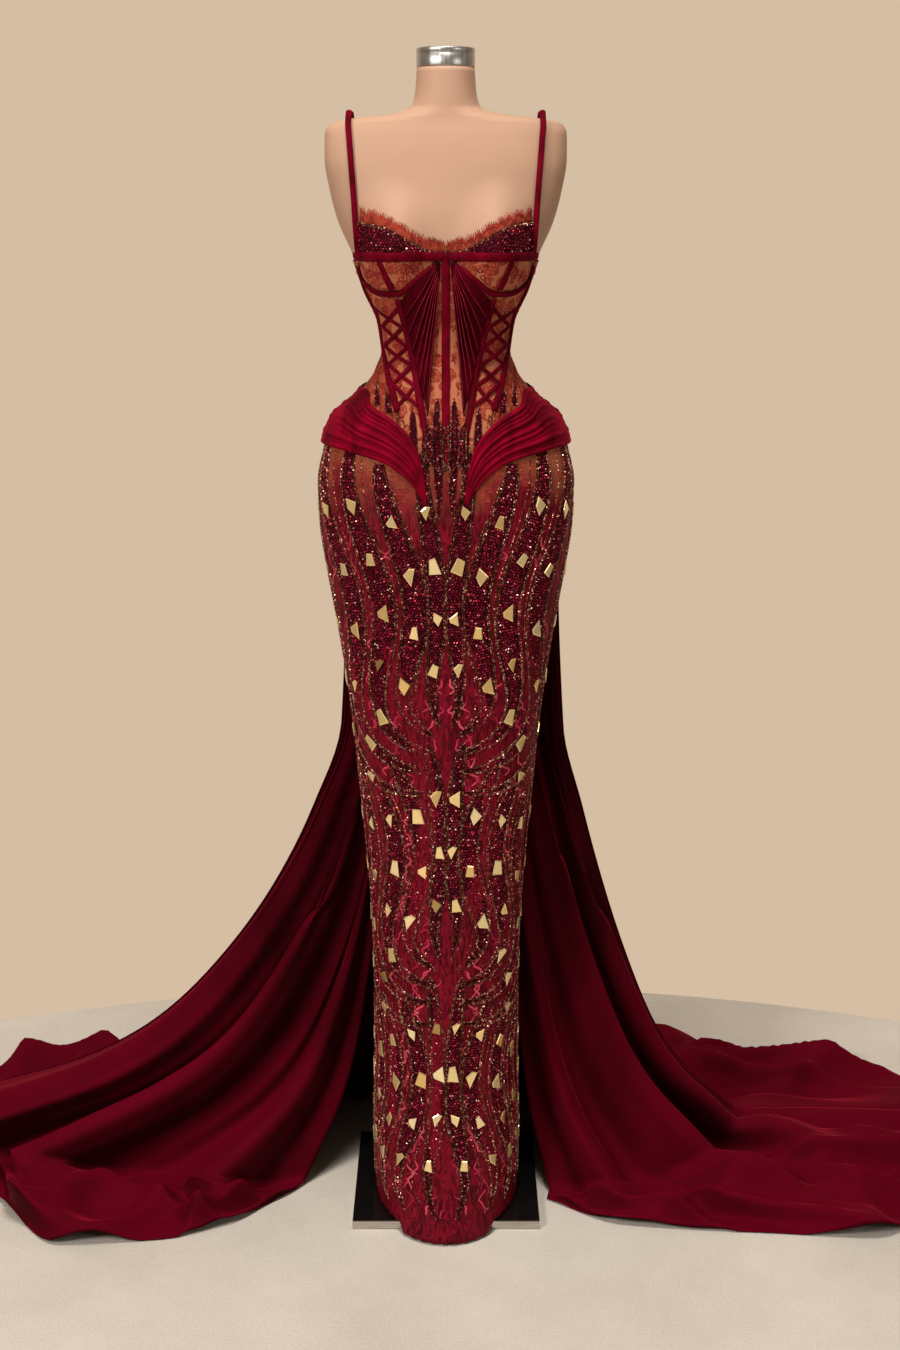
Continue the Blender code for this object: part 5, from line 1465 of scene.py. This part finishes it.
FLOWERS = [  # girth, height, size, turn
    (0.060, 1.447, 0.0110, 0.2), (0.104, 1.448, 0.0090, 0.9), (0.131, 1.440, 0.0100, 0.3), (0.131, 1.400, 0.0105, 0.7),
    (0.014, 1.420, 0.0060, 0.1), (0.014, 1.372, 0.0070, 0.5), (0.024, 1.290, 0.0080, 1.1), (0.015, 1.330, 0.0068, 0.2),
    (0.090, 1.392, 0.0095, 0.4), (0.075, 1.345, 0.0085, 0.9), (0.070, 1.300, 0.0085, 0.1), (0.118, 1.352, 0.0110, 0.6),
    (0.125, 1.305, 0.0120, 0.3), (0.105, 1.282, 0.0090, 1.2), (0.160, 1.330, 0.0120, 0.8), (0.165, 1.395, 0.0120, 0.1),
    (0.180, 1.440, 0.0110, 0.6), (0.190, 1.300, 0.0120, 0.5), (0.200, 1.360, 0.0120, 0.2), (0.215, 1.420, 0.0120, 0.9),
    (0.235, 1.310, 0.0120, 0.4), (0.235, 1.372, 0.0120, 0.8), (0.262, 1.430, 0.0120, 0.1), (0.262, 1.335, 0.0110, 0.9),
    (0.020, 1.246, 0.0080, 0.8), (0.180, 1.200, 0.0120, 0.5), (0.110, 1.160, 0.0120, 0.3), (0.060, 1.140, 0.0100, 0.9),
]
LEAVES = [
    (0.040, 1.452, 0.0095, 0.0), (0.088, 1.455, 0.0085, -0.5), (0.118, 1.425, 0.0100, 1.2), (0.122, 1.380, 0.0100, -1.9),
    (0.012, 1.395, 0.0050, 1.4), (0.012, 1.350, 0.0060, -1.4), (0.013, 1.318, 0.0062, 1.3), (0.016, 1.276, 0.0070, 0.6),
    (0.078, 1.378, 0.0080, 0.3), (0.066, 1.325, 0.0075, 0.9), (0.060, 1.286, 0.0080, 0.2), (0.112, 1.326, 0.0100, 0.9),
    (0.112, 1.268, 0.0090, 0.4), (0.140, 1.370, 0.0110, 0.5), (0.145, 1.300, 0.0110, 1.1), (0.150, 1.420, 0.0110, -0.3),
    (0.178, 1.350, 0.0110, 0.2), (0.180, 1.405, 0.0110, 0.9), (0.210, 1.325, 0.0110, 1.2), (0.225, 1.395, 0.0110, -0.2),
    (0.245, 1.340, 0.0100, 1.3), (0.070, 1.160, 0.0105, 0.8), (0.130, 1.130, 0.0110, 1.2), (0.175, 1.150, 0.0110, 0.6),
]
for side in (-1, 1):
    for row in FLOWERS:
        flower(*row, side)
    for row in LEAVES:
        spray(*row, side)

# Wavy strokes of coral thread all over the crimson lace.
girth = 0.40
for side in (-1, 1):
    for i in range(420):
        z0 = 0.05 + 1.02 * ((i * 0.61803) % 1.0)
        s0 = (0.02 + 0.98 * ((i * 0.75488) % 1.0)) * float(half_girth(z0)) * 0.72
        length = 0.018 + 0.026 * ((i * 0.569) % 1.0)
        t = np.linspace(0, 1, 11)
        stroke = np.column_stack([0.16 * np.sin(t * (5.2 + 2.5 * ((i * 0.37) % 1))) + 0.07 * np.sin(t * 13 + i), t - 0.5])
        draw(coral, stroke, side * s0, z0, length, 0.22 * math.sin(i * 1.7), LAY - 0.0001, 0.0034, 0.0006, side, 0.0)
lace_cords.done("lace_motifs", "cord", "lace", smooth=False)
coral.done("coral_strokes", "coral", "beaded_lace", smooth=False)

# The lashes of the upper edge: fine threads that spring from the scalloped strip.
lashes = Pile()
for side in (-1, 1):
    for i, x in enumerate(np.arange(0.003, 0.1178, 0.00085)):
        base_z = float(edging_top(x)) - 0.0030
        slope = float(edging_top(x + 0.0006) - edging_top(x - 0.0006)) / 0.0012
        long = 0.0060 + 0.0022 * ((i * 0.618) % 1.0)
        t = np.linspace(0, 1, 6)
        lean = -0.0020 * max(-1.2, min(1.2, slope)) + 0.0012 * math.sin(i * 2.3)
        xs, zs = np.clip(x + lean * t**1.5, 0.0008, 0.1215), base_z + long * t
        th = angle_of(side * xs, zs)
        lift = BASE_OFF + 0.0012 + 0.0014 * t**2 * (0.5 + ((i * 0.414) % 1.0))
        lashes.cord(surface(th, zs, lift), normal_of(th, zs), 0.0009, 0.0005)
    # two rows of cord along the scallops
    for drop in (0.0004, 0.0032):
        x = np.linspace(0.002, 0.1178, 300)
        zs = edging_top(x) - drop
        th = angle_of(side * x, zs)
        lashes.cord(surface(th, zs, BASE_OFF + 0.0012), normal_of(th, zs), 0.0012, 0.0006)
lashes.done("edge_lashes", "cord", "lace", smooth=False)

# ------------------------------------------------------------------------------------------- floor, light and camera
segments = 96
turn = np.linspace(0, 2 * math.pi, segments, endpoint=False)
disc = bpy.data.meshes.new("studio_floor")
disc.from_pydata([(2.34 * math.cos(a), -1.55 + 2.34 * math.sin(a), -0.0004) for a in turn], [], [list(range(segments))])
disc.materials.append(M["floor"])
floor = bpy.data.objects.new("studio_floor", disc)
bpy.context.scene.collection.objects.link(floor)

world = bpy.data.worlds.new("studio")
world.use_nodes = True
bpy.context.scene.world = world
tree = world.node_tree
sky = tree.nodes["Background"]
way = tree.nodes.new("ShaderNodeSeparateXYZ")
tree.links.new(tree.nodes.new("ShaderNodeTexCoord").outputs["Generated"], way.inputs[0])
behind = add(tree, "ShaderNodeMapRange")
behind.interpolation_type = "SMOOTHSTEP"
for key, value in (("From Min", 0.15), ("From Max", 0.85)):
    behind.inputs[key].default_value = value
tree.links.new(way.outputs["Y"], behind.inputs["Value"])
tree.links.new(mixed(tree, behind.outputs["Result"], (0.170, 0.137, 0.104), (0.665, 0.515, 0.365)), sky.inputs["Color"])
sky.inputs["Strength"].default_value = 1.0


def area_light(name, at, aim, size, power, colour):
    data = bpy.data.lights.new(name, "AREA")
    data.shape, data.size, data.energy, data.color = "DISK", size, power, colour
    light = bpy.data.objects.new(name, data)
    bpy.context.scene.collection.objects.link(light)
    light.location = at
    light.rotation_euler = (Vector(aim) - Vector(at)).to_track_quat("-Z", "Y").to_euler()


area_light("overhead", (0.0, -0.9, 4.2), (0, 0, 0.6), 1.0, 96, (1.0, 0.97, 0.92))
area_light("key", (-2.3, -2.9, 2.8), (0, 0, 0.8), 1.0, 102, (1.0, 0.96, 0.91))
area_light("fill", (2.6, -2.6, 2.0), (0, 0, 0.8), 1.4, 20, (1.0, 0.97, 0.93))

bpy.context.scene.view_settings.view_transform = "Standard"
camera_data = bpy.data.cameras.new("camera")
camera_data.lens, camera_data.sensor_width, camera_data.sensor_fit = 50.0, 36.0, "AUTO"
camera = bpy.data.objects.new("camera", camera_data)
camera.location = (0.006, -2.753, 1.534)
camera.rotation_euler = (math.radians(76.0), 0.0, 0.0)
bpy.context.scene.collection.objects.link(camera)
bpy.context.scene.camera = camera
